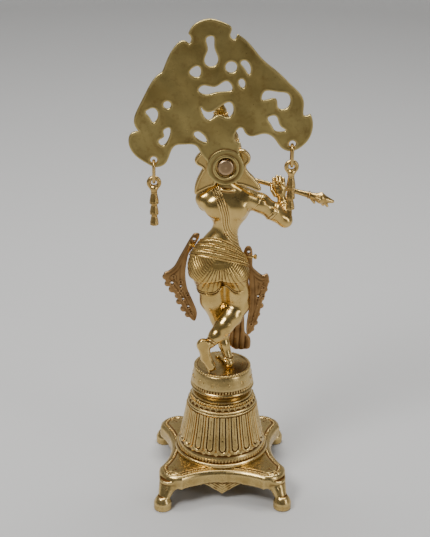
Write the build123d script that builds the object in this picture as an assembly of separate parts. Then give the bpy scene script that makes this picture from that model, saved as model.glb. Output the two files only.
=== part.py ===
from build123d import *
import os

# Brass flute player on a fluted bell pedestal, with a pierced tree plate behind the head and two
# pendants that hang from it on links.  Millimetres, +Z up, origin on the floor at the centre of the
# four feet.  The figure faces +Y, so its right side is +X.

# ---- four-legged stand -------------------------------------------------------------------------
foot_x = 57.2              # half the distance between foot pads, side to side
foot_y = 61.5              # half the distance between foot pads, back to front
foot_radius = 8.5
foot_height = 7.5
ankle_radius = 5.6
ankle_height = 12.5
ankle_inset = 1.6          # how far the ankle stands in from its foot pad, each way
knee_radius = 10.4
knee_inset_x = 5.5         # how far the knee stands in from its foot pad
knee_inset_y = 9.5
stand_top = 33.0
plate_thickness = 5.0
waist_x = 48.5             # half width of the plate where its sides draw in
waist_y = 48.5
lobe_overhang = 3.6        # how far a corner lobe reaches past its foot pad's centre
lobe_half_width = 22.0     # from the lobe's tip back to where the drawn-in side starts
skirt_wall = 4.5
skirt_bottom = 19.0
skirt_round = 2.0
apron_tip = 6.0            # lowest point of the pointed apron in the middle of each side
apron_half = 17.8
apron_lap = 3.0            # how far an apron runs up inside the skirt that it hangs from

# ---- bell pedestal and drum --------------------------------------------------------------------
bell_height = 63.5
bell_foot_radius = 45.5
bell_petal_radius = 33.2   # where the petals start under the shoulder rings
bell_ring_radius = 33.6
bell_band_radius = 30.6
bell_collar_radius = 28.9
bell_neck_radius = 26.6
bell_wall = 3.6
drum_height = 26.9
drum_widest_radius = 30.4
drum_widest_rise = 6.0     # height of the widest ring above the drum's underside
drum_top_radius = 26.6
drum_bottom_radius = 25.6
drum_wall = 3.4

# ---- rod that draws the pedestal together --------------------------------------------------------
rod_radius = 3.0
rod_clearance = 0.3
rod_tail = 4.0             # length of rod left below the nut
nut_across_flats = 10.0
nut_height = 5.0
washer_radius = 9.0
washer_thickness = 1.6
boss_radius = 8.0          # inside the drum, where the rod is screwed in
boss_height = 9.0

# ---- figure ------------------------------------------------------------------------------------
hip_height = 100.0         # hip line above the drum's top
waist_rise = 39.0          # waist above the hip line
shoulder_rise = 29.0       # shoulder line above the waist
head_rise = 38.2           # middle of the head above the shoulder line
hip_half_width = 28.4
waist_half_width = 12.8
shoulder_half_width = 27.0
hip_sway = -5.0            # hips are pushed out to the figure's left
crown_height = 44.0
crown_lean = -5.0
heel_peg_radius = 2.2
heel_peg_length = 3.0
belt_stand_off = 1.5

# ---- tree plate --------------------------------------------------------------------------------
tree_thickness = 3.2
tree_gap = 18.0            # from the figure's own plane back to the plate's front face
neck_disc_radius = 16.5
stud_radius = 4.5
stud_head_radius = 7.6
stud_head_height = 3.2
stud_recess_radius = 9.2
stud_recess_depth = 1.6
stud_embed = 5.0
spacer_radius = 9.0
hang_hole_radius = 3.1

# ---- links and pendants ------------------------------------------------------------------------
wire_radius = 1.45
link_bend_radius = 4.75
link_straight = 10.0
link_slack = 0.65          # gap between the wire and the edge of its hole at rest
ring_radius = 4.5
ring_wire_radius = 2.0
ring_slack = 0.3
bell_count = 3
bell_pitch = 11.0
bell_top_radius = 2.9
bell_lip_radius = 3.9
pendant_neck_length = 2.0

# ---- flute -------------------------------------------------------------------------------------
flute_mouth_radius = 1.8
flute_end_radius = 3.0
flute_start_x = -9.0
flute_end_x = 84.0
flute_drop = 0.285         # fall per unit of length towards the far end
flute_y = 18.5

# ---- sashes ------------------------------------------------------------------------------------
sash_thickness = 2.6
rivet_radius = 1.4
rivet_head_radius = 2.6
rivet_head_height = 2.2

tail_front_y = 18.8        # front face of the cloth tail, clear of the crossing knee
tail_thickness = 2.4

# ---- heights worked out from the sizes above -----------------------------------------------------
bell_top = stand_top + bell_height
drum_top = bell_top + drum_height
hip_z = drum_top + hip_height
waist_z = hip_z + waist_rise
shoulder_z = waist_z + shoulder_rise
head_z = shoulder_z + head_rise
tree_front_y = -tree_gap
tree_back_y = -tree_gap - tree_thickness
tree_mid_y = -tree_gap - tree_thickness / 2


def rod(start, end, r_start, r_end=None):
    """Round bar or cone from start to end."""
    axis = Vector(*end) - Vector(*start)
    r_end = r_start if r_end is None else r_end
    plane = Plane(origin=start, z_dir=axis)
    if abs(r_start - r_end) < 1e-6:
        shape = Cylinder(r_start, axis.length, align=(Align.CENTER, Align.CENTER, Align.MIN))
    else:
        shape = Cone(r_start, r_end, axis.length, align=(Align.CENTER, Align.CENTER, Align.MIN))
    return plane * shape


def ball(x, y, z, radius):
    return Pos(x, y, z) * Sphere(radius)


def limb(stations):
    """Tapered bars between stations of x, y, z and radius, rounded over at each station."""
    shape = ball(*stations[0])
    for first, second in zip(stations, stations[1:]):
        shape += rod(first[:3], second[:3], first[3], second[3])
        shape += ball(*second)
    return shape


def stack(sections):
    """Smooth body through level ellipses given as z, centre x, centre y, half width, half depth."""
    faces = [Plane(origin=(x, y, z)) * Ellipse(half_x, half_y) for z, x, y, half_x, half_y in sections]
    return loft(faces)


def turned(profile):
    """Body turned about the Z axis from r, z points."""
    outline = Polyline(*[(r, 0, z) for r, z in profile], close=True)
    return revolve(make_face(outline), Axis.Z)


def upright_plate(points, y_front, thickness, smooth=True):
    """Plate standing in the XZ plane, its front face at y_front and its back towards -Y."""
    edge_points = [(x, y_front, z) for x, z in points]
    edge = Spline(*edge_points, periodic=True) if smooth else Polyline(*edge_points, close=True)
    return extrude(make_face(edge), amount=thickness, dir=(0, -1, 0))


def solid_of(shape):
    """The one largest closed solid of a cut shape."""
    return max(shape.solids(), key=lambda piece: piece.volume)


# ---- stand -------------------------------------------------------------------------------------
def stand_outline():
    """Square with drawn-in sides and round corner lobes, centred on the origin."""
    tip_x = foot_x + lobe_overhang
    tip_y = foot_y - lobe_overhang / 4
    side_x = tip_x - lobe_half_width
    side_y = tip_y - lobe_half_width
    corner_x = tip_x - 5.5
    corner_y = tip_y - 5.5
    edges = [
        ThreePointArc((-side_x, -tip_y), (0, -waist_y), (side_x, -tip_y)),
        ThreePointArc((side_x, -tip_y), (corner_x, -corner_y), (tip_x, -side_y)),
        ThreePointArc((tip_x, -side_y), (waist_x, 0), (tip_x, side_y)),
        ThreePointArc((tip_x, side_y), (corner_x, corner_y), (side_x, tip_y)),
        ThreePointArc((side_x, tip_y), (0, waist_y), (-side_x, tip_y)),
        ThreePointArc((-side_x, tip_y), (-corner_x, corner_y), (-tip_x, side_y)),
        ThreePointArc((-tip_x, side_y), (-waist_x, 0), (-tip_x, -side_y)),
        ThreePointArc((-tip_x, -side_y), (-corner_x, -corner_y), (-side_x, -tip_y)),
    ]
    return make_face(edges)


def apron(side_wall):
    """Pointed apron: the part of a skirt wall inside a triangle that hangs below the skirt."""
    top = skirt_bottom + apron_lap
    outline = Polyline((-apron_half, top), (-apron_half, skirt_bottom), (0, apron_tip),
                       (apron_half, skirt_bottom), (apron_half, top), close=True)
    wedge = extrude(Plane.XZ * make_face(outline), amount=2 * foot_y, both=True)
    return side_wall & wedge


def make_stand():
    outline = stand_outline()
    hollow = offset(outline, amount=-skirt_wall, kind=Kind.INTERSECTION)
    body = extrude(Pos(0, 0, skirt_bottom) * outline, amount=stand_top - skirt_bottom)
    body = fillet(body.edges().group_by(Axis.Z)[-1], radius=skirt_round)
    body -= extrude(Pos(0, 0, skirt_bottom) * hollow, amount=stand_top - plate_thickness - skirt_bottom)
    wall = extrude(Pos(0, 0, apron_tip) * (outline - hollow), amount=skirt_bottom + apron_lap - apron_tip)
    body += apron(wall)
    body += Rot(0, 0, 90) * apron(Rot(0, 0, -90) * wall)
    for side_x in (-1, 1):
        for side_y in (-1, 1):
            x, y = side_x * foot_x, side_y * foot_y
            ankle_x, ankle_y = x - side_x * ankle_inset, y - side_y * ankle_inset
            pad = Pos(x, y, foot_height / 2) * Cylinder(foot_radius, foot_height)
            collar = loft([
                Pos(x, y, foot_height) * Circle(foot_radius),
                Pos(ankle_x, ankle_y, ankle_height) * Circle(ankle_radius),
            ])
            knee_x, knee_y = x - side_x * knee_inset_x, y - side_y * knee_inset_y
            knee = loft([
                Pos(ankle_x, ankle_y, ankle_height) * Circle(ankle_radius),
                Pos(knee_x, knee_y, stand_top - plate_thickness) * Circle(knee_radius),
            ])
            body += pad + collar + knee
    body -= Pos(0, 0, stand_top) * Cylinder(rod_radius + rod_clearance, 4 * plate_thickness)
    return solid_of(body)


# ---- pedestal ----------------------------------------------------------------------------------
def make_bell():
    bore = rod_radius + rod_clearance
    low = stand_top
    outside = [
        (bore, bell_top), (bell_neck_radius, bell_top), (bell_neck_radius, bell_top - 0.6),
        (bell_collar_radius, bell_top - 1.6), (bell_collar_radius, bell_top - 3.2),
        (bell_band_radius - 1.2, bell_top - 4), (bell_band_radius - 1.0, bell_top - 6.6),
        (bell_band_radius, bell_top - 7), (bell_band_radius + 0.6, bell_top - 11),
        (bell_ring_radius, bell_top - 12), (bell_ring_radius, bell_top - 14.6),
        (bell_petal_radius, bell_top - 15.2), (bell_foot_radius - 9.1, low + 29.5),
        (bell_foot_radius - 5.7, low + 15), (bell_foot_radius - 3.6, low + 9),
        (bell_foot_radius - 2.2, low + 4.2), (bell_foot_radius, low + 3.4), (bell_foot_radius, low),
    ]
    inside = [
        (bell_foot_radius - bell_wall - 2.2, low), (bell_foot_radius - bell_wall - 5.7, low + 14),
        (bell_band_radius - bell_wall, bell_top - 12), (bell_band_radius - bell_wall - 1.2, bell_top - 7),
        (bell_neck_radius - bell_wall, bell_top - bell_wall), (bore, bell_top - bell_wall),
    ]
    return turned(outside + inside)


def make_drum():
    low = bell_top
    outside = [
        (0, drum_top), (drum_top_radius - 0.6, drum_top), (drum_top_radius, drum_top - 0.6),
        (drum_widest_radius, low + drum_widest_rise), (drum_bottom_radius + 1, low + 1.6), (drum_bottom_radius, low),
    ]
    ceiling = drum_top - drum_wall
    inside = [
        (drum_bottom_radius - drum_wall, low), (drum_bottom_radius - drum_wall, low + 3),
        (drum_top_radius - drum_wall - 1, ceiling), (boss_radius, ceiling),
        (boss_radius, ceiling - boss_height), (rod_radius, ceiling - boss_height),
        (rod_radius, ceiling), (0, ceiling),
    ]
    drum = turned(outside + inside)
    heel_x, heel_y = heel_place[:2]
    drum -= Pos(heel_x, heel_y, drum_top) * Cylinder(heel_peg_radius, 2 * heel_peg_length)
    return drum


def make_tie_rod():
    nut_top = stand_top - plate_thickness - washer_thickness
    low = nut_top - nut_height - rod_tail
    high = drum_top - drum_wall
    return rod((0, 0, low), (0, 0, high), rod_radius)


def make_tie_washer():
    top = stand_top - plate_thickness
    ring = Cylinder(washer_radius, washer_thickness) - Cylinder(rod_radius + rod_clearance, 9)
    return Pos(0, 0, top - washer_thickness / 2) * ring


def make_tie_nut():
    top = stand_top - plate_thickness - washer_thickness
    blank = extrude(RegularPolygon(nut_across_flats / 2, 6, major_radius=False), amount=nut_height)
    blank -= Cylinder(rod_radius, 4 * nut_height)
    return Pos(0, 0, top - nut_height) * blank


# ---- figure ------------------------------------------------------------------------------------
heel_place = (6.8, -5.5, drum_top)
hip_left = (hip_sway - 9.0, 0, hip_z - 6)
hip_right = (hip_sway + 17.5, 0, hip_z - 6)
shoulder_left = (-shoulder_half_width + 7.5, 0, shoulder_z + 2)
shoulder_right = (shoulder_half_width - 4.0, 0, shoulder_z + 2)
head_place = (-1.0, 4.0, head_z)


def body_sections(grow=0.0):
    """Level ellipses of the trunk from the hips to the neck."""
    hip, waist, chest = hip_half_width, waist_half_width, shoulder_half_width
    rows = [
        (hip_z - 2, hip_sway, -1, hip, 16),
        (hip_z + 7, hip_sway - 1, -1, hip - 1.2, 15.5),
        (hip_z + 15, hip_sway - 1, -0.5, hip - 4, 14.5),
        (hip_z + 24, hip_sway, 0, hip - 9, 12.5),
        (waist_z - 6, hip_sway + 2.8, 0.5, waist + 2.4, 11),
        (waist_z, 0.5, 1, waist, 10),
        (waist_z + 6, 2.8, 1, waist + 0.4, 10.5),
        (waist_z + 13, 2.5, 1, chest - 9.5, 12),
        (shoulder_z - 8, 1, 0.5, chest - 3, 13),
        (shoulder_z, 0.3, 0, chest, 12.5),
        (shoulder_z + 7, 1, 0, chest - 3, 10),
        (shoulder_z + 11, 1.5, 0, chest - 12, 8),
    ]
    return [(z, x, y, half_x + grow, half_y + grow) for z, x, y, half_x, half_y in rows]


def make_torso():
    return stack(body_sections())


def make_dhoti():
    hips = stack([
        (hip_z - 2, hip_sway, -1, hip_half_width, 16),
        (hip_z - 9, hip_sway + 0.3, -1, hip_half_width - 1, 15.6),
        (hip_z - 15, hip_sway + 1.4, -0.5, hip_half_width - 3.2, 14),
    ])
    hem_z = hip_z - 20.5
    cuffs = (((hip_left[0], 0, hip_z - 13), (-11.5, 1, hem_z), 13.6, 11.8),
             ((hip_right[0], 0, hip_z - 13), (12.8, 3, hem_z - 1), 12.6, 11.0))
    for top, bottom, r_top, r_bottom in cuffs:
        hips += rod(top, bottom, r_top, r_bottom)
    return hips


def make_left_leg():
    x, y, z = heel_place
    leg = limb([
        (-12.0, 1, hip_z - 16, 12.0), (-9.4, 4, hip_z - 35, 9.6), (-3.4, 5, hip_z - 56, 8.4),
        (2.4, 0, hip_z - 79, 5.3), (6.0, -4.4, drum_top + 8, 4.4),
    ])
    sole_z = drum_top
    foot = limb([(x, y, sole_z + 3.4, 4.0), (2.0, 5, sole_z + 3.2, 3.6), (-2.0, 14, sole_z + 2.0, 3.4)])
    leg += foot
    leg -= Pos(0, 0, sole_z - 20) * Box(120, 120, 40)
    leg += rod((x, y, sole_z - heel_peg_length), (x, y, sole_z + 4), heel_peg_radius)
    return leg


def make_right_leg():
    leg = limb([
        (13.0, 3, hip_z - 16, 11.0), (14.6, 6, hip_z - 37, 9.8), (4.0, -2, hip_z - 52, 8.0),
        (-5.4, -10, hip_z - 64, 5.6), (-13.0, -15, hip_z - 74, 4.4),
    ])
    foot = limb([
        (-21.0, -18.5, drum_top + 26, 4.8), (-15.6, -18.5, drum_top + 13.5, 3.6),
        (-12.0, -18.4, drum_top + 2.6, 3.0),
    ])
    leg += foot + rod((-13.0, -15, hip_z - 74), (-20.0, -18, drum_top + 25), 4.4, 4.4)
    leg -= Pos(0, 0, drum_top - 20) * Box(120, 120, 40)
    return leg


def make_right_arm():
    x, y, z = shoulder_right
    elbow = (58.0, 4, shoulder_z - 22.5)
    wrist = (54.6, 14, shoulder_z - 9.0)
    palm = (51.0, flute_y, shoulder_z + 5.0)
    arm = limb([(x, y, z, 9.6), (42, 2, shoulder_z - 10.6, 8.0), (*elbow, 7.2)])
    arm += limb([(*elbow, 7.2), (*wrist, 4.4), (*palm, 4.8), (50.4, flute_y + 0.5, shoulder_z + 13, 3.2)])
    along = Vector(*elbow) - Vector(x, y, z)
    band = Plane(origin=(44.9, 2.2, shoulder_z - 12.7), z_dir=along)
    arm += band * Cylinder(8.8, 4.0)
    arm += Plane(origin=(53.2, 15.6, shoulder_z - 4.2), z_dir=(-0.2, 0.3, 0.9)) * Cylinder(5.4, 2.6)
    return arm


def make_left_arm():
    elbow = (-16.0, 30, shoulder_z - 22)
    wrist = (8.0, 27, shoulder_z + 4)
    hand = (16.0, flute_y + 2, shoulder_z + 13.5)
    arm = limb([(*shoulder_left, 9.4), (-20, 16, shoulder_z - 9, 7.6), (*elbow, 6.4)])
    arm += limb([(*elbow, 6.4), (*wrist, 4.0), (*hand, 4.4)])
    return arm


def make_head():
    x, y, z = head_place
    skull = Pos(x, y, z) * scale(Sphere(1), by=(13.5, 15.0, 20.0))
    neck = rod((1.5, 0, shoulder_z + 6), (x, 1.5, z - 12), 7.4, 6.4)
    top = z + 14
    crown = stack([
        (top - 2, x, 2, 15.0, 15.0), (top + 6, x + 0.2 * crown_lean, 1.6, 14.0, 14.0),
        (top + 0.45 * crown_height, x + 0.5 * crown_lean, 1, 9.6, 9.6),
        (top + 0.8 * crown_height, x + 0.8 * crown_lean, 1, 5.2, 5.2),
        (top + crown_height, x + crown_lean, 1, 1.6, 1.6),
    ])
    return skull + neck + crown


def make_ear_flare(side):
    """Hair and ear ornament that stands out beside the neck disc; side is -1 for the left."""
    low = head_place[2] - 28.5
    inner = 8.0
    if side < 0:
        points = [(-inner, low + 36), (-22.6, low + 38), (-27.8, low + 31), (-20.4, low + 24),
                  (-26.4, low + 14), (-26.4, low), (-17.0, low + 8), (-inner, low + 14)]
    else:
        points = [(inner, low + 38), (14.3, low + 42), (22.7, low + 34.5), (19.2, low + 25.5),
                  (29.6, low + 12), (31.8, low + 5), (17.0, low + 10), (inner, low + 14)]
    return upright_plate(points, -6.0, 4.0, smooth=False)


# ---- waist belt and sashes -----------------------------------------------------------------------
def belt_slab():
    """Tilted slice of space that the belt lies in."""
    tilt = 10.5
    return Pos(hip_sway, 0, hip_z + 18.2) * Rot(0, tilt, 0) * Box(110, 90, 21.5)


def make_belt():
    return stack(body_sections(belt_stand_off)) & belt_slab()


def make_left_sash():
    z = hip_z
    points = [
        (-25.0, z + 33.0), (-29.0, z + 31.0), (-38.5, z + 15.8), (-45.3, z + 2.6), (-53.0, z - 6),
        (-56.3, z - 9.0), (-53.5, z - 19.0), (-47.0, z - 32.0), (-40.0, z - 43.5), (-33.0, z - 53.0),
        (-26.4, z - 56.6), (-24.6, z - 45.0), (-30.8, z - 28.6), (-35.6, z - 9), (-35.2, z + 8.0),
        (-31.0, z + 21.0),
    ]
    return upright_plate(points, 6.3, sash_thickness)


def make_right_sash():
    z = hip_z
    points = [
        (21.9, z + 19.6), (25.2, z + 17.0), (27.0, z + 4), (31.5, z - 4.2), (38.5, z - 11.8),
        (43.4, z - 11.0), (42.4, z - 22), (38.4, z - 37), (33.7, z - 56.3), (25.4, z - 70.0),
        (23.8, z - 63), (25.0, z - 29.0), (24.6, z - 8), (22.2, z + 7),
    ]
    return upright_plate(points, 6.3, sash_thickness)


def make_sash_rivets():
    left = Plane(origin=(-31.5, 5, hip_z + 23.5), z_dir=(-1, 0, 0.6))
    right = Plane(origin=(23.6, 5, hip_z + 9.5), z_dir=(1, 0, 0))
    rivet = Pos(0, 0, -3) * Cylinder(rivet_radius, 14)
    rivet += Pos(0, 0, 4 + rivet_head_height / 2) * Cylinder(rivet_head_radius, rivet_head_height)
    return [left * rivet, right * rivet]


def make_front_tail():
    z = hip_z
    low = drum_top + 6.6
    points = [
        (-1.5, z + 6), (9.5, z + 6), (19.0, z - 20), (21.2, low + 38), (21.6, low + 17), (27.5, low + 12),
        (27.4, low + 1), (19, low), (10.2, low + 0.4), (6.8, low + 14), (9.5, low + 40), (2.0, z - 22),
    ]
    tail = upright_plate(points, tail_front_y, tail_thickness, smooth=False)
    hook_low, hook_high = z + 1, z + 6
    tail += Pos(4, tail_front_y - tail_thickness - 3, (hook_low + hook_high) / 2) * Box(8, 7, 5)
    return tail


# ---- tree plate --------------------------------------------------------------------------------
tree_z = head_place[2]     # the neck disc's centre height; the outline is measured from it


def tree_point(x, rise):
    return (x, tree_z + rise)


def tree_outline():
    """Leafy outline in eight smooth runs that meet at notches, as x and rise over the neck disc."""
    runs = [
        [(-33.6, 119.5), (-31.0, 114.4), (-32.8, 110.6)],
        [(-32.8, 110.6), (-39.2, 113.4), (-45.5, 108), (-51.5, 97.5), (-56.1, 86.2)],
        [(-56.1, 86.2), (-64.0, 79.0), (-71.0, 66.5), (-77.5, 53.5), (-80.9, 43.8), (-76.8, 33.0)],
        [(-76.8, 33.0), (-85.0, 29.2), (-85.6, 20.4), (-77.5, 8.4), (-69.6, 3.2), (-63.4, 0.2),
         (-55.2, 2.0), (-49.6, 12.0), (-45.0, 19.8), (-36.5, 21.2), (-27.0, 20.0), (-21.0, 11.0),
         (-16.2, 4.2), (-neck_disc_radius, -2), (-12.6, -10.2), (-0.4, -neck_disc_radius),
         (11.8, -11.0), (neck_disc_radius, -1), (14.0, 7.5), (11.6, 14.5), (13.2, 23.0)],
        [(13.2, 23.0), (7.4, 26.0), (8.2, 32.5), (12.3, 36.6), (15.8, 33.0)],
        [(15.8, 33.0), (23.0, 28.8), (34.0, 31.0), (42.0, 27.0), (49.0, 18.0), (57.5, 15.2),
         (67.0, 19.6), (73.6, 28.0), (76.0, 41.0), (73.4, 49.4)],
        [(73.4, 49.4), (68.2, 47.6), (67.4, 59.0), (57.4, 73.8), (44.0, 86.6), (30.7, 97.5),
         (20.0, 110), (8.1, 119.5)],
        [(8.1, 119.5), (4.5, 114.8), (2.4, 118), (3.6, 123.6), (-4.5, 129.6), (-15.5, 132.3),
         (-27.0, 128.6), (-33.6, 119.5)],
    ]
    edges = []
    for run in runs:
        edges.append(Spline(*[(x, tree_front_y, tree_z + rise) for x, rise in run]))
    return make_face(edges)


def tree_windows():
    """Pierced openings, each a closed smooth outline of x and rise over the neck disc."""
    return [
        [(-15.9, 117.2), (-12.5, 117.2), (-11.3, 108.0), (-8.0, 96.4), (-10.8, 91.8), (-17.4, 92.0),
         (-19.6, 96.6), (-16.7, 107.0)],
        [(-30.4, 89.2), (-23.2, 89.6), (-24.6, 82.0), (-29.0, 82.2)],
        [(12.4, 95.8), (14.2, 96.6), (20.2, 86.2), (19.4, 84.4), (15.2, 89.4)],
        [(11.0, 79.8), (12.8, 80.4), (15.6, 74.4), (14.2, 72.4)],
        [(-24.4, 71.2), (-21.4, 74.0), (-10.0, 73.4), (0.6, 78.0), (4.7, 71.6), (-8.0, 68.6),
         (-21.6, 67.2)],
        [(-21.8, 54.4), (-8.4, 53.4), (3.4, 59.2), (5.8, 52.0), (1.0, 45.6), (-7.1, 48.0),
         (-15.0, 43.6), (-20.0, 47.6)],
        [(-69.4, 51.8), (-61.2, 52.4), (-60.4, 45.2), (-63.8, 41.0), (-68.4, 47.2)],
        [(-53.8, 35.2), (-50.2, 36.2), (-50.8, 26.6), (-57.4, 20.4), (-59.4, 24.2), (-54.6, 28.2)],
        [(-27.5, 32.2), (-23.8, 32.6), (-17.6, 23.4), (-23.4, 25.0)],
        [(30.4, 63.4), (33.6, 69.6), (44.0, 69.0), (53.6, 66.6), (52.4, 54.4), (45.4, 54.4),
         (43.2, 62.4), (36.6, 62.4)],
        [(37.8, 47.0), (43.6, 46.8), (48.0, 37.6), (52.2, 34.4), (43.6, 33.6), (39.4, 39.4)],
    ]


hang_left = (-63.9, 6.6)
hang_right = (58.5, 21.9)
tree_round_holes = [(3.5, 90.6, 4.9), (-51.8, 56.8, 3.3)]


def make_tree_plate():
    plate = extrude(tree_outline(), amount=tree_thickness, dir=(0, -1, 0))
    for window in tree_windows():
        points = [tree_point(x, rise) for x, rise in window]
        plate -= upright_plate(points, tree_front_y + 1, tree_thickness + 2)
    rounds = tree_round_holes + [(*hang_left, hang_hole_radius), (*hang_right, hang_hole_radius)]
    rounds.append((0, 0, stud_radius))
    for x, rise, radius in rounds:
        place = Plane(origin=(x, tree_mid_y, tree_z + rise), z_dir=(0, 1, 0))
        plate -= place * Cylinder(radius, 4 * tree_thickness)
    recess = Plane(origin=(0, tree_back_y + stud_recess_depth / 2, tree_z), z_dir=(0, 1, 0))
    plate -= recess * Cylinder(stud_recess_radius, stud_recess_depth)
    return solid_of(plate)


def make_tree_stud():
    seat_y = tree_back_y + stud_recess_depth
    inner_y = head_place[1] - 15.0 + stud_embed
    stud = rod((0, seat_y, tree_z), (0, inner_y, tree_z), stud_radius)
    stud += rod((0, seat_y - stud_head_height, tree_z), (0, seat_y, tree_z), stud_head_radius)
    return stud


def make_tree_spacer():
    inner_y = head_place[1] - 15.0 + stud_embed
    ring = rod((0, tree_front_y, tree_z), (0, inner_y, tree_z), spacer_radius)
    return ring - rod((0, tree_front_y - 1, tree_z), (0, inner_y + 1, tree_z), stud_radius)


# ---- links and pendants --------------------------------------------------------------------------
def hang_heights(rise):
    """Heights that follow from a hang hole: top wire, link's upper and lower bends, ring centre."""
    wire_z = tree_z + rise - hang_hole_radius + link_slack + wire_radius
    upper_z = wire_z - link_bend_radius
    lower_z = upper_z - link_straight
    ring_z = lower_z - link_bend_radius + wire_radius + ring_slack - (ring_radius - ring_wire_radius)
    return wire_z, upper_z, lower_z, ring_z


def make_link(hang):
    x, rise = hang
    wire_z, upper_z, lower_z, ring_z = hang_heights(rise)
    near = tree_mid_y - link_bend_radius
    far = tree_mid_y + link_bend_radius
    path = Wire([
        Line((x, near, lower_z), (x, near, upper_z)),
        ThreePointArc((x, near, upper_z), (x, tree_mid_y, upper_z + link_bend_radius), (x, far, upper_z)),
        Line((x, far, upper_z), (x, far, lower_z)),
        ThreePointArc((x, far, lower_z), (x, tree_mid_y, lower_z - link_bend_radius), (x, near, lower_z)),
    ])
    section = Plane(origin=(x, near, lower_z), z_dir=(0, 0, 1)) * Circle(wire_radius)
    return sweep(section, path=path)


def make_pendant(hang):
    x, rise = hang
    ring_z = hang_heights(rise)[3]
    ring = Plane(origin=(x, tree_mid_y, ring_z), z_dir=(0, 1, 0)) * Torus(ring_radius, ring_wire_radius)
    top = ring_z - ring_radius - ring_wire_radius - pendant_neck_length
    profile = [(0, top + pendant_neck_length + ring_wire_radius), (2.2, top + pendant_neck_length + 1)]
    for count in range(bell_count):
        z = top - count * bell_pitch
        profile += [(bell_top_radius - 0.6, z), (bell_top_radius, z - 0.35 * bell_pitch),
                    (bell_lip_radius, z - 0.86 * bell_pitch), (bell_lip_radius - 0.3, z - bell_pitch)]
    profile.append((0, top - bell_count * bell_pitch))
    return ring + Pos(x, tree_mid_y, 0) * turned(profile)


# ---- flute -------------------------------------------------------------------------------------
def flute_point(x):
    rise = head_place[2] - 17.0 - flute_drop * (x - head_place[0])
    return (x, flute_y, rise)


def make_flute():
    start, end = flute_point(flute_start_x), flute_point(flute_end_x)
    flute = rod(start, end, flute_mouth_radius, flute_end_radius)
    bud, tip = flute_point(flute_end_x + 7), flute_point(flute_end_x + 19)
    flute += rod(end, bud, flute_end_radius, 5.4)
    flute += rod(bud, tip, 5.4, 1.0)
    return flute


# ---- assembly ------------------------------------------------------------------------------------
def build_parts():
    parts = {}
    parts["base_stand"] = make_stand()
    parts["pedestal_bell"] = make_bell()
    parts["seat_drum"] = make_drum()
    parts["tie_rod"] = make_tie_rod()
    parts["tie_washer"] = make_tie_washer()
    parts["tie_nut"] = make_tie_nut()

    flute = make_flute()
    rivets = make_sash_rivets()
    stud = make_tree_stud()
    torso = make_torso()
    dhoti = make_dhoti() - torso
    belt = make_belt() - torso - dhoti
    left_leg = make_left_leg() - dhoti - torso
    right_leg = make_right_leg() - dhoti - torso - left_leg
    head = make_head() - torso - flute - stud
    right_arm = make_right_arm() - torso - flute - head
    left_arm = make_left_arm() - torso - flute - head
    spacer = make_tree_spacer() - head
    left_flare = make_ear_flare(-1) - head - spacer - torso - left_arm - stud
    right_flare = make_ear_flare(1) - head - spacer - torso - right_arm - stud
    left_sash = make_left_sash() - belt - torso - dhoti - left_leg
    right_sash = make_right_sash() - belt - torso - dhoti - right_leg
    tail = make_front_tail() - belt - torso - dhoti - left_leg - right_leg
    for rivet in rivets:
        belt -= rivet
        torso -= rivet
        dhoti -= rivet
        left_sash -= rivet
        right_sash -= rivet

    parts["left_leg"] = solid_of(left_leg)
    parts["right_leg"] = solid_of(right_leg)
    parts["dhoti"] = solid_of(dhoti)
    parts["waist_belt"] = solid_of(belt)
    parts["torso"] = solid_of(torso)
    parts["head"] = solid_of(head)
    parts["left_arm"] = solid_of(left_arm)
    parts["right_arm"] = solid_of(right_arm)
    parts["left_ear_flare"] = solid_of(left_flare)
    parts["right_ear_flare"] = solid_of(right_flare)
    parts["left_sash"] = solid_of(left_sash)
    parts["right_sash"] = solid_of(right_sash)
    parts["front_tail"] = solid_of(tail)
    parts["sash_rivets"] = Compound(children=[solid_of(rivet) for rivet in rivets])
    parts["flute"] = flute
    parts["tree_plate"] = make_tree_plate()
    parts["tree_stud"] = stud
    parts["tree_spacer"] = solid_of(spacer)
    parts["left_link"] = make_link(hang_left)
    parts["right_link"] = make_link(hang_right)
    parts["left_pendant"] = make_pendant(hang_left)
    parts["right_pendant"] = make_pendant(hang_right)
    return parts


os.makedirs("parts", exist_ok=True)
for name, shape in build_parts().items():
    export_step(shape, f"parts/{name}.step")
    print(f"{name:18s} {shape.volume / 1000:9.2f} cm3  solids {len(shape.solids())}")
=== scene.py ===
"""Brass flute player on a fluted bell pedestal: surfaces, finishes, floor, lights and camera.

Lengths in this script are millimetres until a mesh is made, and metres after that.  Heights of the
figure are measured up from the drum that it stands on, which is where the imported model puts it.
"""
import math

import bmesh
import bpy
import numpy as np
import openvdb
from mathutils import Matrix, Vector
from mathutils.bvhtree import BVHTree


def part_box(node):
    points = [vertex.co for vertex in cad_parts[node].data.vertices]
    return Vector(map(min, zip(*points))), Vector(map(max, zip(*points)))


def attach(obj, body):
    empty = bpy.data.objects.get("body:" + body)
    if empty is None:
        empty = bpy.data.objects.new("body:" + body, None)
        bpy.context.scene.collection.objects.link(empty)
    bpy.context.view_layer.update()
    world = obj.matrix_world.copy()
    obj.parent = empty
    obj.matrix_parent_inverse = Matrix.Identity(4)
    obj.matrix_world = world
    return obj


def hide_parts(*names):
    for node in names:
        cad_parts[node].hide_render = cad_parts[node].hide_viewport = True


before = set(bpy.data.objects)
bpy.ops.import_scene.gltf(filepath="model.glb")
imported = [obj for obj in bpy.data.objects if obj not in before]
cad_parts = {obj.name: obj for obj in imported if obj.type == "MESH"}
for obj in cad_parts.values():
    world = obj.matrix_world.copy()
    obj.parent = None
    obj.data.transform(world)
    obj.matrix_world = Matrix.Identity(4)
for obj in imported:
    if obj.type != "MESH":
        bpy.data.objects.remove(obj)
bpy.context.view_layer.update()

MM = 0.001
FAR = 12.0


def box_mm(node):
    low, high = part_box(node)
    return np.array(low) / MM, np.array(high) / MM


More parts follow.
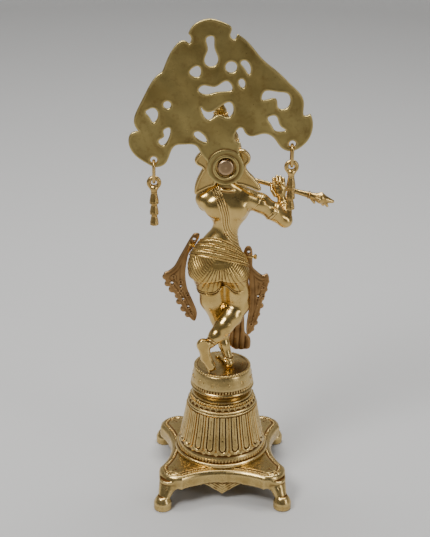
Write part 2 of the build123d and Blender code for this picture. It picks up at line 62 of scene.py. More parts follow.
DRUM_TOP = box_mm("seat_drum")[1][2]
STAND_HIGH = box_mm("base_stand")[1]
TREE_LOW, TREE_HIGH = box_mm("tree_plate")
STUD_LOW, STUD_HIGH = box_mm("tree_stud")
NECK_DISC_Z = (STUD_LOW[2] + STUD_HIGH[2]) / 2


# ---- clay: shapes as distances on a fine grid --------------------------------------------------
def up(x, y, rise):
    """A point of the figure, its height measured from the drum's top."""
    return np.array((x, y, DRUM_TOP + rise), float)


def soft_min(a, b, soft):
    if soft <= 0:
        return np.minimum(a, b)
    share = np.clip(0.5 + 0.5 * (b - a) / soft, 0, 1)
    return b + (a - b) * share - soft * share * (1 - share)


def smooth_step(value, low, high):
    share = np.clip((value - low) / (high - low), 0, 1)
    return share * share * (3 - 2 * share)


def curve_through(knots, values, at):
    """Smooth curve through values at the knots, for sections of a body."""
    knots, values = np.array(knots, float), np.array(values, float)
    slopes = np.gradient(values, knots)
    spot = np.clip(np.searchsorted(knots, at) - 1, 0, len(knots) - 2)
    span = knots[spot + 1] - knots[spot]
    t = np.clip((at - knots[spot]) / span, 0, 1)
    a, b = values[spot], values[spot + 1]
    ta, tb = slopes[spot] * span, slopes[spot + 1] * span
    return ((2 * t**3 - 3 * t**2 + 1) * a + (t**3 - 2 * t**2 + t) * ta
            + (3 * t**2 - 2 * t**3) * b + (t**3 - t**2) * tb)


class Clay:
    """Block of space whose grid holds the distance to the surface, negative inside."""

    def __init__(self, low, high, step):
        self.step = step
        counts = [int(math.ceil((b - a) / step)) + 1 for a, b in zip(low, high)]
        self.axes = [a + step * np.arange(n, dtype=np.float32) for a, n in zip(low, counts)]
        self.field = np.full(counts, FAR, np.float32)

    def window(self, low, high):
        cuts = []
        for axis, a, b in zip(self.axes, low, high):
            start = max(int(np.searchsorted(axis, a)) - 1, 0)
            stop = min(int(np.searchsorted(axis, b)) + 1, len(axis))
            cuts.append(slice(start, max(stop, start)))
        x, y, z = (axis[cut] for axis, cut in zip(self.axes, cuts))
        return tuple(cuts), x[:, None, None], y[None, :, None], z[None, None, :]

    def whole(self):
        x, y, z = self.axes
        return x[:, None, None], y[None, :, None], z[None, None, :]

    def add(self, shape, soft=0.0):
        low, high, distance = shape
        margin = 2.5 + soft
        cuts, x, y, z = self.window(low - margin, high + margin)
        if self.field[cuts].size:
            self.field[cuts] = soft_min(self.field[cuts], distance(x, y, z), soft)

    def cut(self, shape, soft=0.0):
        low, high, distance = shape
        margin = 2.5 + soft
        cuts, x, y, z = self.window(low - margin, high + margin)
        if self.field[cuts].size:
            self.field[cuts] = -soft_min(-self.field[cuts], distance(x, y, z), soft)

    def raise_by(self, height):
        """Lifts the surface by height, a function of x, y, z."""
        self.field -= height(*self.whole())

    def trim(self, point, normal):
        """Cuts away what lies ahead of a plane."""
        x, y, z = self.whole()
        n = np.array(normal, float) / np.linalg.norm(normal)
        ahead = (x - point[0]) * n[0] + (y - point[1]) * n[1] + (z - point[2]) * n[2]
        self.field = np.maximum(self.field, ahead.astype(np.float32))

    def faces(self):
        for axis in range(3):
            edge = [slice(None)] * 3
            for end in (0, -1):
                edge[axis] = end
                self.field[tuple(edge)] = np.maximum(self.field[tuple(edge)], self.step)
        band = 3 * self.step
        grid = openvdb.FloatGrid(band)
        grid.copyFromArray(np.clip(self.field, -band, band).astype(np.float32))
        points, triangles, quads = grid.convertToPolygons(isovalue=0.0, adaptivity=0.0)
        origin = np.array([axis[0] for axis in self.axes])
        return relaxed(points * self.step + origin, triangles, quads), triangles, quads


def relaxed(points, triangles, quads, rounds=2):
    """Evens out the grid's own small steps without shrinking the shape."""
    pairs = [quads[:, [k, (k + 1) % 4]] for k in range(4)] + [triangles[:,
                                                                        [k, (k + 1) % 3]] for k in range(3)]
    a, b = np.concatenate(pairs).T
    count = len(points)
    links = np.bincount(a, minlength=count) + np.bincount(b, minlength=count)
    for _ in range(rounds):
        for share in (0.5, -0.53):
            mean = [(np.bincount(a, points[b, k], count) + np.bincount(b, points[a, k], count)) / links
                    for k in range(3)]
            points = points + share * (np.stack(mean, 1) - points)
    return points


def bar(start, end, r_start, r_end=None):
    """Round-ended bar that tapers from one radius to the other."""
    a, b = np.array(start, float), np.array(end, float)
    r_end = r_start if r_end is None else r_end
    along = b - a
    length2 = float(along @ along) + 1e-9
    widest = max(r_start, r_end)

    def distance(x, y, z):
        dx, dy, dz = x - a[0], y - a[1], z - a[2]
        t = np.clip((dx * along[0] + dy * along[1] + dz * along[2]) / length2, 0, 1)
        gap = np.sqrt((dx - t * along[0])**2 + (dy - t * along[1])**2 + (dz - t * along[2])**2)
        return gap - (r_start + (r_end - r_start) * t)

    return np.minimum(a, b) - widest, np.maximum(a, b) + widest, distance


def egg(centre, radii, lean=0.0):
    """Ellipsoid with half sizes radii, leaning about the Y axis by some degrees."""
    c, r = np.array(centre, float), np.array(radii, float)
    cos, sin = math.cos(math.radians(lean)), math.sin(math.radians(lean))
    reach = float(r.max())

    def distance(x, y, z):
        dx, dy, dz = x - c[0], y - c[1], z - c[2]
        px, pz = cos * dx - sin * dz, sin * dx + cos * dz
        k0 = np.sqrt((px / r[0])**2 + (dy / r[1])**2 + (pz / r[2])**2) + 1e-6
        k1 = np.sqrt((px / r[0]**2)**2 + (dy / r[1]**2)**2 + (pz / r[2]**2)**2) + 1e-6
        return k0 * (k0 - 1) / k1

    return c - reach, c + reach, distance


def hoop(centre, normal, radius, thick, tall=None):
    """Ring about a normal; tall stretches its section along the normal."""
    c, n = np.array(centre, float), np.array(normal, float)
    n /= np.linalg.norm(n)
    tall = thick if tall is None else tall
    reach = radius + max(thick, tall)

    def distance(x, y, z):
        dx, dy, dz = x - c[0], y - c[1], z - c[2]
        along = dx * n[0] + dy * n[1] + dz * n[2]
        out = np.sqrt(np.maximum(dx * dx + dy * dy + dz * dz - along * along, 0)) - radius
        size = np.sqrt((out / thick)**2 + (along / tall)**2) + 1e-6
        return (size - 1) * min(thick, tall)

    return c - reach, c + reach, distance


def chain(clay, stations, soft):
    """Bars that follow one another through stations of a point and a radius."""
    for (a, r_a), (b, r_b) in zip(stations, stations[1:]):
        clay.add(bar(a, b, r_a, r_b), soft)


def level_ellipses(rows, grow=0.0):
    """Body through level ellipses: rise, centre x, centre y, half width, half depth."""
    rows = np.array(rows, float)
    rises = rows[:, 0] + DRUM_TOP
    reach = rows[:, 3].max() + abs(rows[:, 1]).max() + grow
    low = np.array((-reach, -rows[:, 4].max() - 4, rises[0]))
    high = np.array((reach, rows[:, 4].max() + 4, rises[-1]))

    def distance(x, y, z):
        cx, cy, rx, ry = (curve_through(rises, rows[:, k], z) for k in (1, 2, 3, 4))
        rx, ry = rx + grow, ry + grow
        dx, dy = (x - cx), (y - cy)
        size = np.sqrt((dx / rx)**2 + (dy / ry)**2) + 1e-6
        slope = np.sqrt((dx / rx**2)**2 + (dy / ry**2)**2) / size + 1e-6
        side = (size - 1) / np.maximum(slope, 1 / np.maximum(rx, ry))
        ends = np.maximum(rises[0] - z, z - rises[-1])
        return np.maximum(side * 0.93, ends)

    return low, high, distance


# ---- meshes ------------------------------------------------------------------------------------
def make_mesh(name, points, polygons):
    """Plain mesh object from points in millimetres."""
    mesh = bpy.data.meshes.new(name)
    mesh.from_pydata((np.asarray(points) * MM).tolist(), [], polygons)
    mesh.validate()
    mesh.update()
    thing = bpy.data.objects.new(name, mesh)
    bpy.context.scene.collection.objects.link(thing)
    return thing


def mark_hollows(thing, passes, full_depth=0.14):
    """Stores how far each point lies below (+) or above (-) the surface around it."""
    mesh = thing.data
    count = len(mesh.vertices)
    place = np.empty(count * 3)
    mesh.vertices.foreach_get("co", place)
    place = place.reshape(-1, 3) / MM
    normal = np.empty(count * 3)
    mesh.vertices.foreach_get("normal", normal)
    normal = normal.reshape(-1, 3)
    ends = np.empty(len(mesh.edges) * 2, np.int32)
    mesh.edges.foreach_get("vertices", ends)
    a, b = ends[0::2], ends[1::2]
    links = np.maximum(np.bincount(a, minlength=count) + np.bincount(b, minlength=count), 1)
    smooth = place.copy()
    for _ in range(passes):
        for axis in range(3):
            column = smooth[:, axis]
            total = np.bincount(a, column[b], count) + np.bincount(b, column[a], count)
            smooth[:, axis] = 0.5 * column + 0.5 * total / links
    depth = ((smooth - place) * normal).sum(1) / full_depth
    layer = mesh.attributes.new("hollow", "FLOAT", "POINT")
    layer.data.foreach_set("value", np.clip(depth, -1, 1).astype(np.float32))


def finish_piece(thing, finish, body, nodes=(), passes=12, sharp=55):
    """Shades a mesh, marks its hollows, gives it its finish and seats it on its body."""
    mesh = thing.data
    mesh.shade_smooth()
    mesh.set_sharp_from_angle(angle=math.radians(sharp))
    mark_hollows(thing, passes)
    mesh.materials.clear()
    mesh.materials.append(finish)
    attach(thing, body)
    if nodes:
        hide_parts(*nodes)
    return thing


def cast(name, clay, finish, nodes=(), body="statue", passes=12):
    points, triangles, quads = clay.faces()
    polygons = triangles.tolist() + quads.tolist()
    thing = make_mesh(name, points, polygons)
    return finish_piece(thing, finish, body, nodes, passes)


# ---- rows, rings and tubes ---------------------------------------------------------------------
def geometry_tree(name, numbers):
    """Empty Geometry Nodes tree with a geometry in and out and the named number inputs."""
    tree = bpy.data.node_groups.new(name, "GeometryNodeTree")
    face = tree.interface
    face.new_socket("Geometry", in_out="INPUT", socket_type="NodeSocketGeometry")
    face.new_socket("Geometry", in_out="OUTPUT", socket_type="NodeSocketGeometry")
    for label, kind in numbers:
        face.new_socket(label, in_out="INPUT", socket_type=kind)
    return tree, tree.nodes.new("NodeGroupInput"), tree.nodes.new("NodeGroupOutput")


def close_tree(tree, geometry, given, out):
    real = tree.nodes.new("GeometryNodeRealizeInstances")
    paint = tree.nodes.new("GeometryNodeSetMaterial")
    tree.links.new(geometry, real.inputs[0])
    tree.links.new(real.outputs[0], paint.inputs["Geometry"])
    tree.links.new(given.outputs["Finish"], paint.inputs["Material"])
    tree.links.new(paint.outputs[0], out.inputs[0])
    return tree


def ring_copies_tree():
    """Copies the piece it is given in equal steps around the upright axis."""
    tree, given, out = geometry_tree("ring of copies", [("Copies", "NodeSocketInt"), ("Finish",
                                                                                      "NodeSocketMaterial")])
    points = tree.nodes.new("GeometryNodePoints")
    place = tree.nodes.new("GeometryNodeInstanceOnPoints")
    index = tree.nodes.new("GeometryNodeInputIndex")
    step, turn = tree.nodes.new("ShaderNodeMath"), tree.nodes.new("ShaderNodeMath")
    step.operation, turn.operation = "DIVIDE", "MULTIPLY"
    step.inputs[0].default_value = 2 * math.pi
    spin = tree.nodes.new("ShaderNodeCombineXYZ")
    link = tree.links.new
    link(given.outputs["Copies"], points.inputs["Count"])
    link(given.outputs["Copies"], step.inputs[1])
    link(index.outputs[0], turn.inputs[0])
    link(step.outputs[0], turn.inputs[1])
    link(turn.outputs[0], spin.inputs["Z"])
    link(points.outputs[0], place.inputs["Points"])
    link(given.outputs["Geometry"], place.inputs["Instance"])
    link(spin.outputs[0], place.inputs["Rotation"])
    return close_tree(tree, place.outputs[0], given, out)


def bead_row_tree():
    """Sets evenly spaced beads along the curve it is given."""
    tree, given, out = geometry_tree("row of beads", [("Beads", "NodeSocketInt"), ("Size",
                                                                                   "NodeSocketVector"),
                                                      ("Finish", "NodeSocketMaterial")])
    points = tree.nodes.new("GeometryNodeCurveToPoints")
    points.mode = "COUNT"
    bead = tree.nodes.new("GeometryNodeMeshIcoSphere")
    bead.inputs["Radius"].default_value = 1.0
    bead.inputs["Subdivisions"].default_value = 2
    place = tree.nodes.new("GeometryNodeInstanceOnPoints")
    link = tree.links.new
    link(given.outputs["Geometry"], points.inputs["Curve"])
    link(given.outputs["Beads"], points.inputs["Count"])
    link(points.outputs["Points"], place.inputs["Points"])
    link(points.outputs["Rotation"], place.inputs["Rotation"])
    link(bead.outputs[0], place.inputs["Instance"])
    link(given.outputs["Size"], place.inputs["Scale"])
    return close_tree(tree, place.outputs[0], given, out)


def grow(name, base, tree, values):
    """Runs a tree on a base object and keeps the outcome as a plain mesh of its own."""
    modifier = base.modifiers.new("grow", "NODES")
    modifier.node_group = tree
    for item in tree.interface.items_tree:
        if item.in_out == "INPUT" and item.name in values:
            modifier[item.identifier] = values[item.name]
    bpy.context.view_layer.update()
    ready = base.evaluated_get(bpy.context.evaluated_depsgraph_get())
    mesh = bpy.data.meshes.new_from_object(ready)
    mesh.name = name
    bpy.data.objects.remove(base)
    thing = bpy.data.objects.new(name, mesh)
    bpy.context.scene.collection.objects.link(thing)
    return thing


RING_COPIES = ring_copies_tree()
BEAD_ROW = bead_row_tree()


def ring_of(name, element, copies, finish, sharp=50):
    thing = grow(name, element, RING_COPIES, {"Copies": copies, "Finish": finish})
    return finish_piece(thing, finish, "statue", passes=4, sharp=sharp)


def bead_row(name, points, closed, beads, size, finish, body="statue", nodes=()):
    """Beads of half sizes size (across, across, along) on a path of points."""
    curve = bpy.data.curves.new(name, "CURVE")
    curve.dimensions = "3D"
    line = curve.splines.new("POLY")
    line.points.add(len(points) - 1)
    line.points.foreach_set("co", np.column_stack([np.array(points) * MM, np.ones(len(points))]).ravel())
    line.use_cyclic_u = closed
    base = bpy.data.objects.new(name + "_path", curve)
    bpy.context.scene.collection.objects.link(base)
    thing = grow(name, base, BEAD_ROW, {"Beads": beads, "Size": [s * MM for s in size], "Finish": finish})
    return finish_piece(thing, finish, body, nodes, passes=2)


def grid_shell(outer, inner):
    """Points and quads of a patch with thickness from two grids of equal shape."""
    rows, columns = outer.shape[:2]
    points = np.concatenate([outer.reshape(-1, 3), inner.reshape(-1, 3)])
    spot = np.arange(rows * columns).reshape(rows, columns)
    a, b, c, d = spot[:-1, :-1], spot[1:, :-1], spot[1:, 1:], spot[:-1, 1:]
    front = np.stack([a, b, c, d], -1).reshape(-1, 4)
    back = front[:, ::-1] + rows * columns
    rim = np.concatenate([spot[0, :], spot[1:, -1], spot[-1, -2::-1], spot[-2:0:-1, 0]])
    following = np.roll(rim, -1)
    side = np.stack([rim, following, following + rows * columns, rim + rows * columns], -1)
    return points, np.concatenate([front, back, side]).tolist()


def curved_panel(name, radius_at, z_low, z_high, half_width, lift, rows=40, columns=19, sink=0.8):
    """One relief panel on a turned surface, about the -Y side: half_width(s), lift(s, q) with s down."""
    s = np.linspace(0, 1, rows)[:, None]
    q = np.linspace(-1, 1, columns)[None, :]
    z = z_high + (z_low - z_high) * s + 0 * q
    r = radius_at(z)
    angle = q * half_width(s) / r - math.pi / 2
    height = lift(s + 0 * q, q + 0 * s)
    grids = []
    for reach in (r + height, r - sink):
        grids.append(np.stack([reach * np.cos(angle), reach * np.sin(angle), z], -1))
    points, quads = grid_shell(*grids)
    return make_mesh(name, points, quads)


def lathe(profile, turns=160, centre=(0, 0)):
    """Closed turned body from a loop of r, z points that starts and ends on the axis or closes."""
    profile = np.array(profile, float)
    angles = np.linspace(0, 2 * math.pi, turns, endpoint=False)
    r, z = profile[:, 0], profile[:, 1]
    points = np.stack([np.outer(np.cos(angles), r), np.outer(np.sin(angles), r), np.tile(z, (turns, 1))], -1)
    points = points.reshape(-1, 3) + np.array((*centre, 0))
    count = len(profile)
    quads = []
    for turn in range(turns):
        here, there = turn * count, (turn + 1) % turns * count
        for step in range(count):
            after = (step + 1) % count
            quads.append((here + step, there + step, there + after, here + after))
    return points, quads


def turned_piece(name, profile, finish, nodes=(), body="statue", turns=160, centre=(0, 0), passes=8):
    points, quads = lathe(profile, turns, centre)
    thing = make_mesh(name, points, quads)
    weld(thing)
    return finish_piece(thing, finish, body, nodes, passes, sharp=40)


def weld(thing):
    work = bmesh.new()
    work.from_mesh(thing.data)
    bmesh.ops.remove_doubles(work, verts=work.verts, dist=1e-7)
    bmesh.ops.recalc_face_normals(work, faces=work.faces)
    work.to_mesh(thing.data)
    work.free()


def rounded_profile(corners, fine=0.9):
    """Profile through r, z corners with extra points between, so that relief, wear and the painted edge highlight can
    form.
    """
    rows = []
    for (r0, z0), (r1, z1) in zip(corners, corners[1:]):
        count = max(1, int(math.hypot(r1 - r0, z1 - z0) / fine))
        for step in range(count):
            share = step / count
            rows.append((r0 + (r1 - r0) * share, z0 + (z1 - z0) * share))
    rows.append(corners[-1])
    return rows


def tube(path, radius, closed=False, sides=12):
    """Round tube along points; an open one is rounded off at both ends."""
    path = np.array(path, float)
    count = len(path)
    ahead = np.roll(path, -1, 0) - np.roll(path, 1, 0)
    if not closed:
        ahead[0], ahead[-1] = path[1] - path[0], path[-1] - path[-2]
    ahead /= np.linalg.norm(ahead, axis=1)[:, None]
    across = np.cross(ahead[0], (0.3, 0.2, 1.0))
    frames = []
    for direction in ahead:
        across = across - direction * (across @ direction)
        across /= np.linalg.norm(across)
        frames.append((across, np.cross(direction, across)))
    angles = np.linspace(0, 2 * math.pi, sides, endpoint=False)
    sizes = np.broadcast_to(np.array(radius, float), (count,))
    rings = [p + size * (np.outer(np.cos(angles), u) + np.outer(np.sin(angles), v))
             for p, size, (u, v) in zip(path, sizes, frames)]
    points = np.concatenate(rings)
    quads = []
    for ring in range(count if closed else count - 1):
        here, there = ring * sides, (ring + 1) % count * sides
        for k in range(sides):
            quads.append((here + k, here + (k + 1) % sides, there + (k + 1) % sides, there + k))
    if not closed:
        quads.append(tuple(range(sides - 1, -1, -1)))
        quads.append(tuple(range((count - 1) * sides, count * sides)))
    return points, quads


def joined(name, parts):
    points, polygons, shift = [], [], 0
    for part_points, part_polygons in parts:
        points.append(np.asarray(part_points))
        polygons += [tuple(i + shift for i in polygon) for polygon in part_polygons]
        shift += len(part_points)
    return make_mesh(name, np.concatenate(points), polygons)


# ---- flat plates ------------------------------------------------------------------------------
def smooth_loop(corners, steps=5):
    """Closed curve through corners."""
    p = np.array(corners, float)
    a, b, c, d = np.roll(p, 1, 0), p, np.roll(p, -1, 0), np.roll(p, -2, 0)
    rows = []
    for t in np.linspace(0, 1, steps, endpoint=False):
        rows.append(0.5 * (2 * b + (c - a) * t + (2 * a - 5 * b + 4 * c - d) * t**2
                           + (3 * b - a - 3 * c + d) * t**3))
    return np.stack(rows, 1).reshape(-1, 2)


def back_outline(node):
    """Edges of a CAD plate's back face as pairs of x, z points."""
    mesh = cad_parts[node].data
    place = np.empty(len(mesh.vertices) * 3)
    mesh.vertices.foreach_get("co", place)
    place = np.round(place.reshape(-1, 3) / MM, 3)
    back = place[:, 1].min()
    seen = {}
    for face in mesh.polygons:
        corners = [tuple(place[v]) for v in face.vertices]
        if all(abs(corner[1] - back) < 0.02 for corner in corners):
            for a, b in zip(corners, corners[1:] + corners[:1]):
                key = frozenset(((a[0], a[2]), (b[0], b[2])))
                if len(key) == 2:
                    seen[key] = seen.get(key, 0) + 1
    return np.array([tuple(key) for key, times in seen.items() if times == 1])


def loops_to_edges(loops):
    return np.concatenate([np.stack([loop, np.roll(loop, -1, 0)], 1) for loop in loops])


def flat_distance(edges, x, z):
    """Distance to the outline over a grid of x and z, negative inside."""
    best = np.full((len(x), len(z)), 1e9, np.float32)
    crossings = np.zeros((len(x), len(z)), bool)
    gx, gz = x[:, None], z[None, :]
    for (ax, az), (bx, bz) in edges:
        dx, dz = bx - ax, bz - az
        t = np.clip(((gx - ax) * dx + (gz - az) * dz) / (dx * dx + dz * dz + 1e-12), 0, 1)
        best = np.minimum(best, (gx - ax - t * dx)**2 + (gz - az - t * dz)**2)
        if az != bz:
            spans = (gz >= min(az, bz)) & (gz < max(az, bz))
            crossings ^= spans & (gx < ax + (gz - az) * dx / dz)
    return np.sqrt(best) * np.where(crossings, -1, 1)


def plate_clay(edges, y_back, y_front, step, edge_round=0.9, spare=2.0):
    low = (edges[..., 0].min() - spare, y_back - spare, edges[..., 1].min() - spare)
    high = (edges[..., 0].max() + spare, y_front + spare, edges[..., 1].max() + spare)
    clay = Clay(low, high, step)
    flat = flat_distance(edges, clay.axes[0], clay.axes[2])
    middle, half = (y_back + y_front) / 2, (y_front - y_back) / 2
    a = flat[:, None, :] + edge_round
    b = np.abs(clay.axes[1][None, :, None] - middle) - half + edge_round
    clay.field = (np.minimum(np.maximum(a, b), 0) + np.hypot(np.maximum(a, 0), np.maximum(b, 0))
                  - edge_round).astype(np.float32)
    return clay, flat


# ---- finishes ----------------------------------------------------------------------------------
class Finish:
    """Short way to wire a material's nodes."""

    def __init__(self, name, slot):
        self.material = bpy.data.materials.new(name)
        self.material.use_nodes = True
        self.material["slot"] = slot
        self.tree = self.material.node_tree
        self.shader = self.tree.nodes["Principled BSDF"]
        self.place = self.tree.nodes.new("ShaderNodeTexCoord").outputs["Object"]
        hollow = self.tree.nodes.new("ShaderNodeAttribute")
        hollow.attribute_name = "hollow"
        self.hollow = hollow.outputs["Fac"]

    def node(self, kind, **inputs):
        made = self.tree.nodes.new(kind)
        for key, value in inputs.items():
            self.join(value, made.inputs[key.replace("_", " ")])
        return made

    def join(self, value, socket):
        if isinstance(value, bpy.types.NodeSocket):
            self.tree.links.new(value, socket)
        else:
            socket.default_value = value

    def noise(self, scale, detail=3.0, roughness=0.55, stretch=None):
        source = self.place
        if stretch:
            mapping = self.node("ShaderNodeMapping", Vector=source)
            mapping.inputs["Scale"].default_value = stretch
            source = mapping.outputs["Vector"]
        return self.node("ShaderNodeTexNoise", Vector=source, Scale=scale, Detail=detail,
                         Roughness=roughness).outputs["Fac"]

    def spread(self, value, low, high, to_low=0.0, to_high=1.0):
        made = self.node("ShaderNodeMapRange")
        for slot, number in zip((0, 1, 2, 3, 4), (value, low, high, to_low, to_high)):
            self.join(number, made.inputs[slot])
        return made.outputs[0]

    def blend(self, share, a, b, kind="MIX"):
        made = self.tree.nodes.new("ShaderNodeMix")
        made.data_type = "RGBA"
        made.blend_type = kind
        self.join(share, made.inputs[0])
        self.join(a, made.inputs[6])
        self.join(b, made.inputs[7])
        return made.outputs[2]

    def sum(self, a, b, kind="ADD"):
        made = self.tree.nodes.new("ShaderNodeMath")
        made.operation = kind
        self.join(a, made.inputs[0])
        self.join(b, made.inputs[1])
        return made.outputs[0]


def brass(name, slot, bright, deep, patina, roughness, patina_gain=1.0, mottle=0.35, grain=(900, 0.25),
          strokes=None):
    """Cast brass: tone drifts over the surface, hollows hold brown patina, raised edges are lighter, partly from
    rubbed wear and partly as a painted highlight.
    """
    make = Finish(name, slot)
    drift = make.noise(38, 4)
    cloud = make.noise(150, 5, 0.6)
    tone = make.blend(make.spread(drift, 0.35, 0.65), (*bright, 1), (*deep, 1))
    tone = make.blend(make.spread(cloud, 0.50, 0.72, 0, mottle), tone, (*patina, 1))
    # brown patina in the hollows; on the shoulder thread the hollow mark also holds painted shade under the cords
    patina_and_shade = make.spread(make.hollow, 0.04, 0.75, 0, patina_gain)
    patina_and_shade = make.sum(patina_and_shade, make.spread(cloud, 0.3, 0.7, 0.75, 1.15), "MULTIPLY")
    patina_and_shade = make.spread(patina_and_shade, 0, 1)
    tone = make.blend(patina_and_shade, tone, (*patina, 1))
    # painted highlight: raised edges get a lighter tone, partly real rubbed wear of the brass and partly a painted
    # highlight on the rims
    wear_and_highlight = make.spread(make.hollow, -0.75, -0.12, 0.55, 0)
    wear_and_highlight_tone = tuple(min(1.0, c * 1.25 + 0.03) for c in bright)
    tone = make.blend(wear_and_highlight, tone, (*wear_and_highlight_tone, 1))
    make.join(tone, make.shader.inputs["Base Color"])
    make.shader.inputs["Metallic"].default_value = 1.0
    rough = make.spread(cloud, 0.3, 0.75, roughness * 0.8, roughness * 1.35)
    rough = make.sum(rough, make.sum(patina_and_shade, 0.28, "MULTIPLY"))
    make.join(rough, make.shader.inputs["Roughness"])
    height = make.noise(grain[0], 3, 0.6)
    if strokes:
        rubbed = make.noise(strokes[0], 2, 0.5, stretch=strokes[1])
        height = make.sum(height, make.sum(rubbed, strokes[2], "MULTIPLY"))
    bump = make.node("ShaderNodeBump", Height=height, Strength=grain[1], Distance=0.00012)
    make.join(bump.outputs["Normal"], make.shader.inputs["Normal"])
    return make.material


BODY_BRASS = brass("polished cast brass", "cast_brass", (0.72, 0.51, 0.19), (0.56, 0.37, 0.12),
                   (0.17, 0.065, 0.015), 0.23, 1.0, 0.14, (700, 0.10))
DRESS_BRASS = brass("chased cast brass", "cast_brass", (0.68, 0.47, 0.16), (0.50, 0.32, 0.09),
                    (0.12, 0.045, 0.010), 0.27, 1.3, 0.26, (900, 0.15))
PEDESTAL_BRASS = brass("pedestal brass", "pedestal_brass", (0.62, 0.45, 0.18), (0.47, 0.32, 0.11),
                       (0.12, 0.05, 0.012), 0.27, 1.4, 0.26, (800, 0.12))
TREE_BRASS = brass("filed and buffed brass", "filed_brass", (0.47, 0.36, 0.13), (0.34, 0.245, 0.08),
                   (0.17, 0.095, 0.03), 0.34, 1.0, 0.55, (1100, 0.3), (420, (1.0, 1.0, 5.0), 0.6))
SASH_BRASS = brass("browned brass", "dark_brass", (0.34, 0.195, 0.075), (0.235, 0.125, 0.045),
                   (0.085, 0.035, 0.012), 0.33, 1.1, 0.35, (700, 0.3))
TRIM_BRASS = brass("tumbled brass", "trim_brass", (0.62, 0.42, 0.15), (0.44, 0.275, 0.085),
                   (0.15, 0.06, 0.014), 0.28, 1.3, 0.3, (900, 0.2))
STUD_BRASS = brass("worn stud brass", "trim_brass", (0.46, 0.31, 0.17), (0.36, 0.23, 0.12),
                   (0.15, 0.075, 0.03), 0.36, 1.0, 0.35, (900, 0.2))


# ---- figure: bare body -------------------------------------------------------------------------
TRUNK = [
    (94, -5.0, -1.0, 27.6, 15.6), (100, -5.2, -1.0, 28.3, 16.0), (107, -6.0, -1.0, 27.2, 15.5),
    (115, -6.0, -0.5, 24.4, 14.4), (124, -5.0, 0.0, 19.4, 12.6), (133, -2.2, 0.5, 15.0, 11.0),
    (139, 0.6, 1.0, 12.6, 10.2), (145, 2.8, 1.0, 13.2, 10.4), (151, 3.6, 1.0, 17.0, 11.6),
    (158, 2.2, 0.6, 21.6, 12.6), (166, 0.6, 0.2, 23.6, 12.6), (173, 0.8, 0.0, 20.5, 10.6),
    (179, 1.4, 0.0, 14.0, 8.0), (184, 1.8, 0.0, 8.4, 6.6),
]


def shape_upper_body(clay):
    """Trunk, neck and both arms down to the wrists as one smooth skin."""
    clay.add(level_ellipses(TRUNK))
    for x, lean in ((-9.5, 8), (12.5, -8)):
        clay.add(egg(up(x, -8.2, 163), (8.0, 4.4, 9.0), lean), 5)
        clay.add(egg(up(x, 8.8, 162), (8.4, 4.6, 7.4), lean), 4)
    clay.add(bar(up(-12, -1, 176.5), up(1, -1.5, 184), 6.6, 6.2), 4)
    clay.add(bar(up(14, -1, 176), up(3, -1.5, 184), 6.6, 6.2), 4)
    clay.add(bar(up(2, -0.5, 178), up(0, 2, 196), 7.2, 6.5), 4)
    chain(clay, [(up(19.5, 0, 170.2), 9.4), (up(33, 1.4, 164.6), 8.7), (up(45.5, 2.8, 155.6), 7.9),
                 (up(56.2, 4, 146.8), 6.9)], 3.2)
    chain(clay, [(up(56.2, 4, 146.8), 6.9), (up(57.0, 9, 153), 5.7), (up(54.4, 14, 160.5), 4.1)], 1.6)
    chain(clay, [(up(-17.6, 0, 169.2), 9.2), (up(-16.8, 12, 162.5), 7.6), (up(-13.0, 25, 152), 6.0)], 3.2)
    chain(clay, [(up(-13.0, 25, 152), 6.0), (up(-5, 28, 160), 5.4), (up(6.5, 27, 171.5), 3.9)], 1.6)
    clay.cut(bar(up(1.0, -14.0, 171), up(2.2, -12.2, 151), 1.2), 3.0)
    clay.cut(bar(up(2.2, -12.2, 151), up(0.4, -10.6, 138), 1.2), 3.0)


def arm_region(cut, away, path, reach):
    """Space past a cut through the upper arm and near the arm's own line, negative inside."""
    bars = [bar(up(*a), up(*b), reach)[2] for a, b in zip(path, path[1:])]
    place, away = up(*cut), np.array(away) / np.linalg.norm(away)

    def distance(x, y, z):
        behind = -((x - place[0]) * away[0] + (y - place[1]) * away[1] + (z - place[2]) * away[2])
        near = bars[0](x, y, z)
        for other in bars[1:]:
            near = np.minimum(near, other(x, y, z))
        return np.maximum(behind, near)
    return distance


right_arm_region = arm_region((29.5, 1, 167), (0.83, 0.08, -0.55), [
    (28, 1, 167), (56.2, 4, 146.8), (54.4, 14, 160.5)], 11)
left_arm_region = arm_region((-17, 9, 164), (0, 0.8, -0.6), [
    (-17, 7, 165), (-13, 25, 152), (6.5, 27, 171.5)], 9.2)


def surface_y(skin, side, x, z):
    """Where a level line along Y meets a skin, coming from the back (-1) or the front (+1)."""
    hit = skin.ray_cast(Vector((x, side * 60.0, z)), Vector((0, -side, 0)))[0]
    return hit.y if hit else None


def skin_of(thing):
    return BVHTree.FromPolygons([v.co / MM for v in thing.data.vertices],
                                [tuple(p.vertices) for p in thing.data.polygons])


def make_thread(torso):
    """Four cords from the left shoulder to the right of the waist, behind and in front."""
    skin = skin_of(torso)
    rises = (119, 126, 130, 135, 141, 147, 157, 167, 178, 187)
    back_x = (21.0, 15.2, 11.6, 6.6, 3.0, 1.2, 0.0, -2.8, -7.2, -10.6)
    front_x = (23.0, 17.0, 14.2, 11.0, 8.2, 5.6, 1.6, -2.8, -7.4, -10.6)
    parts = []
    for side, knots in ((-1, back_x), (1, front_x)):
        at = np.linspace(rises[0], rises[-1], 64)
        middle = curve_through(rises, knots, at)
        slope = np.gradient(middle, at)
        for offset in (-3.0, -1.0, 1.0, 3.0):
            path = []
            for rise, x, tilt in zip(at, middle, slope):
                size = math.hypot(1, tilt)
                px, pz = x + offset / size, DRUM_TOP + rise - offset * tilt / size
                y = surface_y(skin, side, px, pz)
                if y is not None:
                    path.append((px, y + side * 0.1, pz))
            parts.append(tube(path, 0.85, sides=8))
    thing = joined("shoulder_thread", parts)
    finish_piece(thing, BODY_BRASS, "statue", passes=4)
    # painted shade: the cords darken where they lie on the skin
    shade_under(thing, skin, 0.55)


